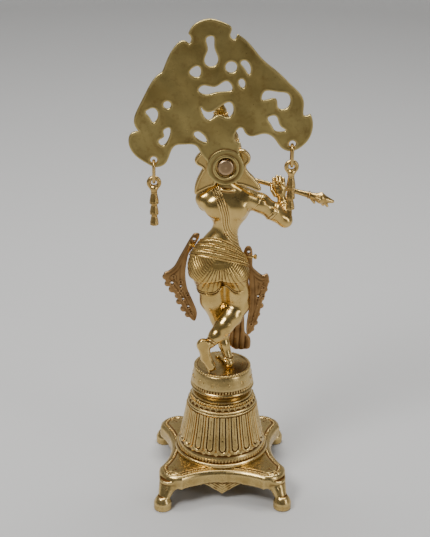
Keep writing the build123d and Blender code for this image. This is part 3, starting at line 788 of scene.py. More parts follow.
def shade_under(thing, skin, height):
    """Paints shade under a laid-on piece: every point that is not height clear of the skin beneath is marked hollow
    and darkens as painted shade.
    """
    layer = thing.data.attributes["hollow"]
    for vertex, item in zip(thing.data.vertices, layer.data):
        spot, normal, _, _ = skin.find_nearest(vertex.co / MM)
        clear = (vertex.co / MM - spot).dot(normal)
        item.value = max(item.value, min(1.0, (height - clear) / 0.3))


def make_torso():
    clay = Clay(up(-36, -19, 110), up(34, 21, 196), 0.42)
    shape_upper_body(clay)
    x, y, z = clay.whole()
    for region in (right_arm_region, left_arm_region):
        clay.field = np.maximum(clay.field, -region(x, y, z).astype(np.float32))
    for drop, wide, thick in ((0.0, 11.4, 1.0), (3.4, 14.2, 1.2), (7.4, 17.2, 1.5)):
        clay.add(hoop(up(1.2, 1.5, 184.5 - drop), (0.08, 0.36, 1), wide * 0.66, thick), 0.4)
    skin = cast("torso_skin", clay, BODY_BRASS, ["torso"])
    make_thread(skin)


def armlet(clay, centre, along, radius):
    n = np.array(along, float) / np.linalg.norm(along)
    for shift, thick in ((-2.3, 0.9), (0.0, 1.5), (2.3, 0.9)):
        clay.add(hoop(np.array(centre) + n * shift, n, radius, thick, thick), 0.25)


def finger(clay, joints, radius):
    for a, b in zip(joints, joints[1:]):
        clay.add(bar(up(*a), up(*b), radius, radius * 0.94), 0.5)


def make_right_arm():
    clay = Clay(up(20, -10, 134), up(68, 27, 190), 0.4)
    shape_upper_body(clay)
    clay.field = np.maximum(clay.field, right_arm_region(*clay.whole()).astype(np.float32))
    armlet(clay, up(44.4, 2.7, 156.4), (0.80, 0.09, -0.60), 7.9)
    armlet(clay, up(54.6, 13.4, 159.4), (-0.33, 0.60, 0.86), 4.3)
    clay.add(bar(up(54.2, 14.4, 161.4), up(51.8, 15.0, 169), 4.2, 4.2), 2)
    clay.add(egg(up(51.0, 15.0, 172.5), (6.4, 3.9, 7.6), -12), 2)
    for x, high, curl in ((46.4, 182.6, 2.8), (49.4, 185.0, 2.0), (52.4, 184.4, 2.2), (55.3, 182.4, 2.8)):
        finger(clay, [(x + 0.4, 14.6, 174), (x - 0.4, 14.4, high - 3.6), (x - 0.8, 14.6 + curl, high)], 1.75)
    finger(clay, [(47.0, 12.8, 168.0), (44.4, 13.4, 172.4), (44.0, 16.4, 176.0)], 1.9)
    cast("right_arm_skin", clay, BODY_BRASS, ["right_arm"])


def make_left_arm():
    clay = Clay(up(-34, -4, 136), up(26, 38, 194), 0.42)
    shape_upper_body(clay)
    clay.field = np.maximum(clay.field, left_arm_region(*clay.whole()).astype(np.float32))
    armlet(clay, up(-16.0, 15.4, 160.0), (0.25, 0.75, -0.6), 7.4)
    armlet(clay, up(5.2, 27.1, 170.2), (0.72, -0.05, 0.69), 4.2)
    clay.add(bar(up(6.5, 27, 171.5), up(13.0, 24.2, 179), 3.8, 3.4), 2)
    clay.add(egg(up(13.6, 23.6, 179.6), (4.6, 3.0, 5.6), 25), 2)
    for x, high in ((11.0, 190.6), (13.6, 190.2), (16.2, 189.0), (18.6, 187.4)):
        finger(clay, [(x, 23.6, high - 9), (x + 0.6, 23.0, high - 3.4), (x + 0.4, 19.2, high - 0.4)], 1.35)
    finger(clay, [(11.4, 22.4, 176.4), (13.8, 19.6, 178.4), (16.4, 17.4, 179.6)], 1.5)
    cast("left_arm_skin", clay, BODY_BRASS, ["left_arm"])


# ---- figure: belt and lower garment ------------------------------------------------------------
def belt_share(x, y, z):
    """0 at the belt's lower edge and 1 at its upper edge; it rides high at the back and on the left."""
    low = DRUM_TOP + 106.8 - 0.20 * x - 0.44 * y
    high = DRUM_TOP + 121.5 - 0.40 * x - np.where(y < 0, 1.0, 0.5) * y
    return (z - low) / (high - low)


def make_belt():
    clay = Clay(up(-37, -20, 97), up(27, 20, 142), 0.36)
    clay.add(level_ellipses(TRUNK, 0.8))
    x, y, z = clay.whole()
    share = belt_share(x, y, z)
    around = np.arctan2(y + 0.5, x + 4.5) + 0 * z
    relief = np.zeros_like(share)
    for low, high in ((0.0, 0.075), (0.30, 0.37), (0.60, 0.67), (0.925, 1.0)):
        middle, half = (low + high) / 2, (high - low) / 2
        relief += 0.95 * np.clip(1 - ((share - middle) / (half * 1.15))**2, 0, 1)**0.5
    for low, high, count, lift in ((0.095, 0.28, 84, 0.85), (0.39, 0.58, 78, 0.95), (0.69, 0.90, 66, 0.8)):
        middle, half = (low + high) / 2, (high - low) / 2
        row = np.clip(1 - ((share - middle) / half)**2, 0, 1)**0.5
        nick = 0.35 + 0.65 * np.abs(np.cos(around * count / 2))
        relief += lift * row * nick
    clay.field = clay.field - relief.astype(np.float32)
    tall = 21.0
    clay.field = np.maximum(clay.field, (np.maximum(-share, share - 1) * tall).astype(np.float32))
    cast("waist_belt_chased", clay, DRESS_BRASS, ["waist_belt"], passes=10)


def pleat_height(x, y, z):
    """Pleats fan out from the small of the back and turn level along the hips and the hem."""
    rise = z - DRUM_TOP
    dx, dz = x + 3.2, 121.5 - rise
    angle = np.arctan2(dx, dz)
    reach = np.hypot(dx, dz)
    fan = np.abs(np.cos(angle * 26)) * smooth_step(reach, 13, 18)
    rings = np.abs(np.cos(np.pi * (reach + 0.10 * np.abs(dx)) / 2.5))
    side = smooth_step(np.abs(angle), 0.50, 0.80)
    lines = fan * (1 - side) + rings * side
    over_hem = rise - 76.0 - 7.5 * np.exp(-((x - 1.5) / 6.0)**2)
    hem = np.exp(-((over_hem - 1.2) / 0.55)**2) + np.exp(-((over_hem - 3.6) / 0.55)**2)
    plain = smooth_step(over_hem, 4.4, 5.4)
    return (0.42 * lines * plain + 0.75 * hem) + 0 * y


def make_dhoti():
    clay = Clay(up(-37, -21, 74), up(27, 21, 124), 0.37)
    clay.add(level_ellipses(TRUNK))
    clay.add(egg(up(-15.6, -6.4, 99), (14.0, 10.8, 13.6)), 4)
    clay.add(egg(up(7.6, -6.2, 98), (12.6, 10.4, 12.8)), 4)
    clay.add(bar(up(-15.2, 0, 96), up(-11.4, 1, 76), 14.6, 11.8), 3)
    clay.add(bar(up(10.6, 0, 95), up(12.6, 3, 75), 13.0, 10.8), 3)
    clay.cut(bar(up(-3.8, -18.4, 103), up(-0.4, -15.4, 78), 1.0), 2.5)
    clay.cut(bar(up(-1, 0, 72), up(-0.4, 0, 84), 2.2, 1.2), 2.5)
    clay.raise_by(pleat_height)
    x, y, z = clay.whole()
    hem = DRUM_TOP + 76.0 + 7.5 * np.exp(-((x - 1.5) / 6.0)**2)
    clay.field = np.maximum(clay.field, (hem - z + 0 * y).astype(np.float32))
    clay.trim(up(0, 0, 118.5), (0.1, 0.35, 1))
    cast("dhoti_pleated", clay, DRESS_BRASS, ["dhoti"], passes=10)


# ---- figure: legs ------------------------------------------------------------------------------
def toes(clay, ball, forward, side, spread, radius):
    """Five toes in a row at the front of a foot, the big toe first."""
    ball, forward, side = (np.array(v, float) for v in (ball, forward, side))
    for count in range(5):
        offset = (count - 2) * spread
        reach = 1.0 - 0.11 * count
        size = radius * (1.12 if count == 0 else 0.86)
        root = ball + side * offset
        clay.add(bar(root, root + forward * reach, size, size * 0.9), 0.5)


def make_left_leg():
    clay = Clay(up(-27, -16, 0), up(16, 21, 88), 0.4)
    chain(clay, [(up(-12.6, 0.5, 92), 12.8), (up(-10.2, 2.6, 67), 11.6), (up(-4.0, 6.0, 47), 8.2)], 3)
    chain(clay, [(up(-4.0, 6.0, 47), 8.0), (up(-1.2, 3.2, 34), 6.9), (up(1.4, 0.2, 21), 5.2),
                 (up(5.0, -3.2, 9.0), 4.3)], 3)
    clay.add(bar(up(0.4, 1, 92), up(1.4, 1.5, 62), 5, 3.4), 3)
    clay.add(egg(up(-3.8, 10.2, 46.5), (5.0, 4.6, 5.6)), 2)
    clay.add(egg(up(6.4, -6.0, 3.8), (4.2, 4.2, 4.4)), 1.5)
    chain(clay, [(up(6.2, -5.0, 3.8), 3.9), (up(3.0, 4.5, 3.6), 3.6), (up(-0.6, 12, 2.4), 3.3)], 2.5)
    toes(clay, up(-1.2, 13.0, 1.7), (-1.7, 4.6, -0.2), (0.86, 0.34, 0), 1.65, 1.25)
    for rise, thick in ((5.6, 1.0), (8.6, 1.3)):
        clay.add(hoop(up(5.4, -3.4, rise + 0.8), (0.25, -0.3, 1), 4.7, thick), 0.3)
    clay.trim(up(0, 0, 0.02), (0, 0, -1))
    clay.trim(up(0, 0, 84), (0, 0, 1))
    cast("left_leg_skin", clay, BODY_BRASS, ["left_leg"])


def make_right_leg():
    clay = Clay(up(-28, -26, 0), up(28, 19, 88), 0.4)
    chain(clay, [(up(11.8, 0.5, 92), 11.6), (up(13.4, 3.5, 74), 11.4), (up(14.5, 5, 61), 10.9)], 3)
    chain(clay, [(up(14.5, 5, 61), 10.6), (up(8.2, -1.5, 52), 10.2), (up(0.8, -6.6, 43.8), 9.0),
                 (up(-6.8, -11.0, 35), 6.8), (up(-11.8, -14, 29.2), 4.9)], 2.5)
    clay.add(egg(up(17.0, 11.0, 61), (5.6, 4.8, 6.2)), 2)
    clay.cut(bar(up(3.6, -8.5, 77), up(5.4, -7.6, 70.5), 0.5), 1.2)
    clay.cut(bar(up(1.2, -6.5, 68.5), up(-8.8, -8.4, 50.5), 0.6), 1.4)
    clay.add(egg(up(-18.8, -16.6, 28.6), (6.3, 5.4, 6.2), 10), 2)
    chain(clay, [(up(-18.4, -16.4, 27.0), 5.6), (up(-16.2, -16.6, 15), 4.9), (up(-11.6, -17.0, 6.0), 4.8)],
          2.5)
    toes(clay, up(-10.9, -17.4, 4.4), (0.9, -0.8, -3.2), (0.86, 0.42, -0.05), 1.75, 1.3)
    for step in (0.0, 2.8):
        clay.add(hoop(up(-11.0 + 0.52 * step, -13.8 + 0.4 * step, 30.4 + 0.8 * step), (0.55, 0.4, 0.72),
                      5.2, 0.7), 0.3)
    clay.trim(up(-16, -20.6, 15), (-0.03, -1, 0.05))
    clay.trim(up(0, 0, 0.02), (0, 0, -1))
    clay.trim(up(0, 0, 84), (0, 0, 1))
    cast("right_leg_skin", clay, BODY_BRASS, ["right_leg"])


# ---- head and crown -----------------------------------------------------------------------------
def make_head():
    """Head with combed hair, calm half-closed eyes, ear rings and a tall tiered crown."""
    clay = Clay(up(-20, -18, 186), up(18, 24, 267), 0.4)
    clay.add(bar(up(2, -0.5, 178), up(0, 2, 196), 7.2, 6.5))
    clay.add(egg(up(-1, 2.5, 208.5), (13.0, 14.2, 14.6)), 3)
    clay.add(egg(up(-1, 7.8, 202), (10.0, 10.8, 14.0)), 4)
    clay.add(egg(up(-1, 14.2, 191.2), (4.0, 3.4, 3.2)), 3)
    for side in (-1, 1):
        clay.add(egg(up(-1 + side * 5.4, 13.6, 197.4), (4.2, 3.4, 4.6)), 3)
        clay.cut(egg(up(-1 + side * 4.8, 19.4, 205.0), (3.6, 2.2, 2.4)), 2)
        clay.add(egg(up(-1 + side * 4.7, 16.0, 204.3), (2.9, 1.9, 1.7)), 0.5)
        clay.cut(bar(up(-1 + side * 2.2, 18.2, 203.7), up(-1 + side * 7.2, 16.6, 204.0), 0.25), 0.4)
        clay.add(bar(up(-1 + side * 2.0, 18.6, 208.0), up(-1 + side * 5.0, 18.0, 209.2), 0.7), 0.8)
        clay.add(bar(up(-1 + side * 5.0, 18.0, 209.2), up(-1 + side * 8.2, 15.4, 207.6), 0.7, 0.4), 0.8)
        clay.add(egg(up(-1 + side * 12.0, 4.0, 202.5), (1.8, 3.0, 4.6)), 0.8)
        clay.cut(egg(up(-1 + side * 14.0, 5.2, 203.0), (1.4, 1.4, 2.4)), 0.6)
        clay.add(hoop(up(-1 + side * 12.8, 4.6, 194.8), (1, 0, 0), 3.4, 1.0), 0.3)
        clay.add(egg(up(-1 + side * 12.8, 4.6, 190.6), (1.7, 1.7, 2.1)), 0.3)
        clay.add(egg(up(-1 + side * 1.3, 18.6, 198.5), (1.2, 1.5, 1.1)), 0.8)
    clay.add(bar(up(-1, 18.0, 206.4), up(-1, 20.4, 199.4), 0.9, 1.5), 1.4)
    clay.add(bar(up(-3.2, 17.4, 194.9), up(1.2, 17.4, 194.9), 0.8), 0.9)
    clay.add(bar(up(-2.6, 17.2, 193.4), up(0.6, 17.2, 193.4), 0.95), 0.8)
    clay.cut(bar(up(-3.6, 18.4, 194.2), up(1.6, 18.4, 194.2), 0.28), 0.3)
    clay.add(egg(up(-1, 17.6, 211.8), (0.9, 0.7, 1.7)), 0.2)
    x, y, z = clay.whole()
    rise = z - DRUM_TOP
    around = np.arctan2(x + 1, -(y - 2))
    hair = smooth_step(4.0 - y + 0.25 * (rise - 205), 0, 2) * smooth_step(rise, 190,
                                                                          193) * smooth_step(-rise, -217,
                                                                                             -215)
    clay.field = clay.field - (hair * (0.7 + 0.45 * np.abs(np.cos(around * 17 + 0.12 * rise)))).astype(np.float32)
    add_crown(clay)
    cast("head_with_crown", clay, DRESS_BRASS, ["head"])
    for index, (rise, radius, beads) in enumerate(((218.6, 15.0, 46), (225.4, 13.6, 42), (238.6, 9.4, 30),
                                                   (249.6, 6.0, 20))):
        lean = -1 + CROWN_LEAN * (rise - 217)
        angles = np.linspace(0, 2 * math.pi, 60, endpoint=False)
        ring = [(lean + radius * math.cos(a), 1.5 + radius * math.sin(a), DRUM_TOP + rise) for a in angles]
        bead_row(f"crown_beads_{index + 1}", ring, True, beads, (0.95, 0.95, 0.95), DRESS_BRASS)


CROWN_LEAN = -0.105
CROWN = [(214.5, 14.4), (216.5, 14.9), (221, 14.5), (224, 13.0), (228, 13.6), (232, 12.4), (236, 9.6),
         (240, 9.0), (243, 8.9), (247, 6.6), (250, 5.4), (253, 5.6), (255.5, 4.4), (257.5, 3.6), (259.5, 4.4),
         (262, 6.0), (263.4, 5.6), (264.4, 3.6)]


def add_crown(clay):
    """Three swelling tiers with leaves round the lowest, leaning a little to the left."""
    rows = np.array(CROWN)
    x, y, z = clay.whole()
    rise = z - DRUM_TOP
    radius = curve_through(rows[:, 0], rows[:, 1], rise)
    dx, dy = x + 1 - CROWN_LEAN * (rise - 217), y - 1.5
    out = np.hypot(dx, dy)
    around = np.arctan2(dy, dx)
    gores = 0.5 * np.abs(np.cos(around * 8)) * smooth_step(rise, 226, 228) * smooth_step(-rise, -252, -250)
    leaf = np.abs((around * 12 / (2 * math.pi)) % 1 - 0.5) * 2
    leaves = 0.9 * smooth_step(1 - leaf - (rise - 219.5) / 8.5, 0, 0.14) * smooth_step(rise, 219, 220)
    side = (out - radius - gores - leaves) * 0.86
    ends = np.maximum(214.5 - rise, rise - 264.2)
    clay.field = soft_min(clay.field, np.maximum(side, ends + 0 * side).astype(np.float32), 0.6)


# ---- tree plate ---------------------------------------------------------------------------------
def leaf_relief(x, z, edges, seed=7):
    """Front of the tree: overlapping veined leaves that fan out from the neck, on a few branches."""
    rng = np.random.default_rng(seed)
    gx, gz = x[:, None], z[None, :]
    height = np.zeros((len(x), len(z)), np.float32)
    for turn, length in ((-62, 74), (-38, 92), (-14, 104), (10, 104), (34, 88), (60, 70)):
        angle = math.radians(turn)
        a = np.array((0.0, NECK_DISC_Z + 8.0))
        b = a + length * np.array((math.sin(angle), math.cos(angle) * 0.95))
        t = np.clip(((gx - a[0]) * (b - a)[0] + (gz - a[1]) * (b - a)[1]) / ((b - a) @ (b - a)), 0, 1)
        sway = 3.0 * np.sin(t * 5.0 + turn)
        gap = np.hypot(gx - a[0] - t * (b - a)[0] - sway, gz - a[1] - t * (b - a)[1])
        height = np.maximum(height, np.clip(1.5 - gap / (2.6 - 1.4 * t), 0, 0.9))
    step = 8.6
    rows = int((z[-1] - z[0]) / (step * 0.82)) + 1
    columns = int((x[-1] - x[0]) / step) + 1
    for row in range(rows):
        for column in range(columns):
            cx = x[0] + (column + 0.5 * (row % 2)) * step + rng.uniform(-1.4, 1.4)
            cz = z[0] + row * step * 0.82 + rng.uniform(-1.2, 1.2)
            turn = math.atan2(cx, cz - NECK_DISC_Z + 30) + rng.uniform(-0.5, 0.5)
            long, wide = rng.uniform(6.0, 7.2), rng.uniform(3.1, 3.9)
            near_x, near_z = np.abs(x - cx) < 8, np.abs(z - cz) < 8
            if not near_x.any() or not near_z.any():
                continue
            dx, dz = x[near_x][:, None] - cx, z[near_z][None, :] - cz
            p = (dx * math.sin(turn) + dz * math.cos(turn)) / long
            q = (dx * math.cos(turn) - dz * math.sin(turn)) / wide
            reach = np.clip(1 - np.abs(p)**1.6, 0, 1)
            inside = np.clip(1 - (q / np.maximum(reach, 0.05))**2, 0, 1) * (np.abs(p) < 1)
            veins = 0.16 * np.exp(-(q / 0.10)**2) + 0.10 * np.clip(np.cos((p - 0.7 * np.abs(q)) * 17), 0, 1)
            leaf = np.sqrt(inside) * (1.05 + 0.25 * p) - veins * inside
            block = height[np.ix_(near_x, near_z)]
            height[np.ix_(near_x, near_z)] = np.maximum(block, leaf)
    plain = flat_distance(edges, x, z)
    clear = smooth_step(-plain, 0.6, 1.8)
    for cx, cz, radius in ((0, NECK_DISC_Z, 17.5), (HANG_LEFT[0], HANG_LEFT[1], 6.5),
                           (HANG_RIGHT[0], HANG_RIGHT[1], 6.5)):
        clear = clear * smooth_step(np.hypot(gx - cx, gz - cz), radius - 1, radius + 1)
    return height * clear


def hang_place(side):
    low, high = box_mm(f"{side}_link")
    return (low[0] + high[0]) / 2, high[2] - 0.65 - 1.45 + 1.6


HANG_LEFT, HANG_RIGHT = hang_place("left"), hang_place("right")


def make_tree():
    edges = back_outline("tree_plate")
    clay, flat = plate_clay(edges, TREE_LOW[1], TREE_HIGH[1], 0.62, 0.7)
    x, z = clay.axes[0], clay.axes[2]
    relief = leaf_relief(x, z, edges)
    front = smooth_step(clay.axes[1], (TREE_LOW[1] + TREE_HIGH[1]) / 2, TREE_HIGH[1])
    clay.field -= (relief[:, None, :] * front[None, :, None]).astype(np.float32)
    gx, gz = x[:, None], z[None, :]
    wave = 0.14 * np.sin(gx / 9.0 + 1.3 * np.sin(gz / 14)) * np.sin(gz / 11.0 + 0.8) + 0.08 * np.sin(gx / 3.7 + gz / 5.1)
    out = np.hypot(gx, gz - NECK_DISC_Z)
    rings = 0.7 * smooth_step(-out, -16.8, -16.0) + 0.5 * smooth_step(-out, -12.0, -11.2)
    rim = 0.12 * np.exp(-((flat + 1.2) / 0.7)**2)
    back = smooth_step(-clay.axes[1], -(TREE_LOW[1] + TREE_HIGH[1]) / 2, -TREE_LOW[1])
    clay.field -= ((wave + rim + rings)[:, None, :] * back[None, :, None]).astype(np.float32)
    clay.cut((np.array((-9.2, TREE_LOW[1] - 3, NECK_DISC_Z - 9.2)),
              np.array((9.2, TREE_LOW[1] + 1.6, NECK_DISC_Z + 9.2)),
              lambda x, y, z: np.maximum(np.hypot(x, z - NECK_DISC_Z) - 9.2, y - TREE_LOW[1] - 1.6)), 0.4)
    cast("tree_plate_filed", clay, TREE_BRASS, ["tree_plate"], passes=14)


def make_stud():
    """Round-headed stud in its recess, and the plain spacer behind it."""
    low, high = STUD_LOW[1], STUD_HIGH[1]
    profile = rounded_profile([(0, low - 0.05), (4.6, low), (6.0, low + 0.2), (6.9, low + 0.8),
                               (7.4, low + 1.8),
                               (7.5, low + 3.2), (4.4, low + 3.3), (4.4, high - 0.5), (3.9, high), (0,
                                                                                                    high)], 0.7)
    points, quads = lathe(profile, 72)
    points = np.column_stack([points[:, 0], points[:, 2], -points[:, 1] + NECK_DISC_Z])
    thing = make_mesh("stud_rounded", points, quads)
    weld(thing)
    finish_piece(thing, STUD_BRASS, "statue", ["tree_stud"], 6)


# ---- flares, sashes and tail ----------------------------------------------------------------------
def figure_loop(corners):
    return smooth_loop([(x, DRUM_TOP + rise) for x, rise in corners])


LEFT_FLARE = [(-8, 214), (-16, 217.5), (-22.8, 215.6), (-27.4, 209.6), (-25.8, 205), (-20.6, 201.6),
              (-22.2, 197.5),
              (-25.4, 190.5), (-27.6, 182.4), (-27.0, 176.6), (-22.4, 179.4), (-15.4, 183.0), (-8, 188)]
RIGHT_FLARE = [(8, 214), (14.6, 219.4), (21.6, 214.4), (22.2, 208.4), (18.8, 203.6), (20.6, 198.4),
               (26.2, 192.2),
               (30.6, 186.4), (32.6, 181.2), (29.4, 180.0), (23.0, 182.8), (15.6, 185.4), (8, 189)]


def make_flare(side, corners):
    edges = loops_to_edges([figure_loop(corners)])
    clay, flat = plate_clay(edges, -10.4, -5.2, 0.42, 1.4)
    gx, gz = clay.axes[0][:, None], clay.axes[2][None, :]
    ribs = 0.35 * np.abs(np.cos((np.abs(gx) * 0.8 + (gz - DRUM_TOP - 200) * 0.35) * 0.9))
    rim = 0.5 * np.exp(-((flat + 1.3) / 0.8)**2)
    front = smooth_step(clay.axes[1], -8.5, -5.5)
    back = smooth_step(-clay.axes[1], 7.5, 10)
    clay.field -= ((ribs + rim)[:, None, :] * front[None, :, None]).astype(np.float32)
    clay.field -= ((0.6 * rim)[:, None, :] * back[None, :, None]).astype(np.float32)
    cast(f"{side}_ear_flare_curled", clay, BODY_BRASS, [f"{side}_ear_flare"])


LEFT_SASH = [(-22.8, 132.8), (-27.6, 133.2), (-31.4, 128.4), (-36.0, 120), (-41.0, 110.5), (-46.0, 100.8),
             (-51.5, 95.6), (-56.0, 93.0), (-54.4, 84.4), (-49.6, 77.4), (-43.4, 67.4), (-37.6,
                                                                                         56.0), (-33.0, 48.4),
             (-27.6, 43.4), (-25.2, 47.0), (-25.0, 54), (-29.4, 66.0), (-33.4, 75.5), (-35.4, 86), (-35.6,
                                                                                                    96),
             (-34.2, 106), (-32.4, 113.4), (-27.6, 120.6), (-23.4, 128.2)]
LEFT_LOBES = [(-54.4, 89.4, 3.2), (-52.6, 82.2, 3.0), (-48.2, 76.4, 3.6), (-43.4, 69.4, 2.6),
              (-41.6, 63.6, 3.2),
              (-37.4, 56.2, 3.4), (-33.4, 50.0, 3.0)]
LEFT_HOLES = [(-48.4, 83.2, 1.5, True), (-46.9, 90.0, 0.9, False), (-40.0, 84.6, 1.0, False),
              (-40.2, 79.6, 1.1, True),
              (-39.8, 75.4, 1.0, False), (-38.0, 66.4, 1.2, True), (-33.6, 70.8, 0.9, False), (-33.0, 58.6,
                                                                                               1.2, True),
              (-29.8, 51.0, 1.0, False), (-27.6, 127.6, 1.7, True), (-31.0, 120.6, 1.1, False)]
RIGHT_SASH = [(20.6, 119.6), (24.4, 120.4), (26.8, 116.0), (27.2, 106.0), (27.6, 99.6), (31.4, 95.2),
              (36.8, 91.2),
              (41.2, 92.6), (43.2, 88.6), (42.8, 82.4), (40.8, 74.3), (38.2, 66.6), (36.4, 58.0), (34.2,
                                                                                                   48.0),
              (31.4, 39.6), (28.6, 32.4), (24.6, 28.8), (22.8, 31.4), (22.9, 41), (24.4, 53.0), (25.2, 64),
              (24.9, 75), (24.0, 88), (22.8, 98), (20.2, 107.4), (18.6, 113.6)]
RIGHT_LOBES = [(41.2, 84.4, 2.6), (39.6, 76.2, 2.8), (37.0, 66.8, 2.4), (36.0, 59.4, 3.0), (33.2, 50.4, 2.7),
               (31.0, 41.4, 2.9), (28.4, 34.4, 2.2)]
RIGHT_HOLES = [(33.2, 69.2, 1.2, True), (38.2, 78.6, 0.9, False), (38.0, 69.8, 0.8, False),
               (27.2, 40.4, 1.0, False),
               (23.4, 114.8, 1.5, True)]


def make_sash(side, corners, lobes, holes):
    """Flat hanging sash end with a scalloped outer edge, pierced dots and raised ribs."""
    edges = loops_to_edges([figure_loop(corners)])
    clay, flat = plate_clay(edges, 3.5, 6.5, 0.42, 1.0, spare=3.5)
    ribs = 0.45 * np.abs(np.cos(flat * math.pi / 3.4)) * (flat < -1.2)
    for x, rise, radius in lobes:
        clay.add(egg((x, 5.0, DRUM_TOP + rise), (radius, 1.6, radius)), 0.3)
    clay.field -= (ribs[:, None, :] * np.abs(np.sign(clay.axes[1]))[None, :, None] * 0.5).astype(np.float32)
    for x, rise, radius, pierced in holes:
        if pierced:
            clay.cut(bar((x, -2, DRUM_TOP + rise), (x, 12, DRUM_TOP + rise), radius), 0.3)
        for y_face in (3.6, 6.4):
            clay.add(hoop((x, y_face, DRUM_TOP + rise), (0, 1, 0), radius + 0.6, 0.6), 0.2)
    cast(f"{side}_sash_pierced", clay, SASH_BRASS, [f"{side}_sash"])
    dots = [(x + (3.4 if side == "left" else -3.0), 3.6, DRUM_TOP + rise + 0.4) for x, rise, _ in lobes]
    bead_row(f"{side}_sash_dots", dots, False, 2 * len(dots) - 1, (0.75, 0.75, 0.75), SASH_BRASS)


TAIL = [(-1.5, 106), (9.5, 106), (19.0, 80), (20.8, 44), (21.4, 30), (22.6, 24.4), (27.4, 18.4), (27.6, 9.6),
        (24.6, 7.4),
        (17, 6.8), (10.2, 8.6), (6.8, 17), (8.6, 30), (9.5, 46), (2.0, 78)]


def make_tail():
    edges = loops_to_edges([smooth_loop([(x, DRUM_TOP + rise) for x, rise in TAIL], 3)])
    clay, _ = plate_clay(edges, 16.2, 19.0, 0.5, 1.1)
    gx, gz = clay.axes[0][:, None], clay.axes[2][None, :]
    folds = 0.5 * np.abs(np.sin((gx - 10 - 0.06 * (gz - DRUM_TOP)) * 0.55))
    clay.field -= (folds[:, None, :] * np.ones(len(clay.axes[1]))[None, :, None]).astype(np.float32) * 0.8
    clay.add(bar(up(4, 18, 102), up(4, 12, 103.5), 3.0, 3.4), 1.5)
    cast("front_tail_folded", clay, SASH_BRASS, ["front_tail"])


def make_rivets():
    """Round-headed pins through the belt at the head of each sash."""
    left = tube([up(-27.5, 3.6, 121.2), up(-30.4, 3.2, 123.0)], 1.5, sides=16)
    right = tube([up(19, 4.6, 110.4), up(29.6, 4.4, 110.0)], 1.4, sides=16)
    heads = []
    for place, size in ((up(-31.2, 3.1, 123.4), 2.5), (up(29.8, 4.4, 110.0), 2.7)):
        profile = rounded_profile([(0, -size * 0.6), (size * 0.7, -size * 0.5), (size, 0),
                                   (size * 0.7, size * 0.5),
                                   (0, size * 0.62)], 0.5)
        points, quads = lathe(profile, 28)
        heads.append((np.column_stack([points[:, 2], points[:, 1], points[:, 0]]) + place, quads))
    thing = joined("sash_pins", [left, right] + heads)
    weld(thing)
    finish_piece(thing, DRESS_BRASS, "statue", ["sash_rivets"], 4)


# ---- flute --------------------------------------------------------------------------------------
def make_flute():
    def at(x):
        return np.array((x, 18.5, DRUM_TOP + 189.2 - 0.285 * (x + 1)))

    clay = Clay((-11, 11, at(105)[2] - 8), (106, 26, at(-10)[2] + 4), 0.4)
    clay.add(bar(at(-9), at(66), 1.8, 2.3))
    clay.add(bar(at(66), at(84), 2.3, 3.2), 1)
    for x, size in ((-8.2, 2.4), (-5, 2.3), (20, 2.5), (22, 2.5), (62, 3.0), (64.4, 3.2), (79, 3.9)):
        clay.add(hoop(at(x), (1, 0, -0.285), size - 0.6, 0.6), 0.3)
    for x in (6, 12, 26, 32, 38):
        clay.cut(bar(at(x) + (0, 0, 1.2), at(x) + (0, 0, 4), 0.75), 0.2)
    clay.add(bar(at(84), at(90), 3.2, 5.2), 1)
    clay.add(bar(at(90), at(101.4), 5.0, 1.6), 1)
    for turn, reach, x in ((90, 5.0, 87.5), (-80, 6.6, 81.0), (-72, 7.0, 89.5), (180, 4.8, 85), (0, 4.8, 85),
                           (-110, 5.6, 93)):
        side = np.array((0.0, math.cos(math.radians(turn)), math.sin(math.radians(turn))))
        clay.add(bar(at(x) + side * 1.5, at(x + 3.4) + side * reach, 2.3, 1.2), 0.8)
    cast("flute_with_bud", clay, TRIM_BRASS, ["flute"])


# ---- links and pendants ---------------------------------------------------------------------------
def make_link(side):
    low, high = box_mm(f"{side}_link")
    centre = (low + high) / 2
    wire = (high[0] - low[0]) / 2
    bend = (high[1] - low[1]) / 2 - wire
    straight = (high[2] - low[2]) / 2 - wire - bend
    path = []
    for angle in np.linspace(0, 2 * math.pi, 48, endpoint=False):
        y, z = math.cos(angle) * bend, math.sin(angle) * bend
        path.append((centre[0], centre[1] + y,
                     centre[2] + z + (straight if math.sin(angle) >= 0 else -straight)))
    points, quads = tube(path, wire, closed=True, sides=16)
    thing = make_mesh(f"{side}_link_wire", points, quads)
    finish_piece(thing, TRIM_BRASS, f"{side}_link", [f"{side}_link"], 2)


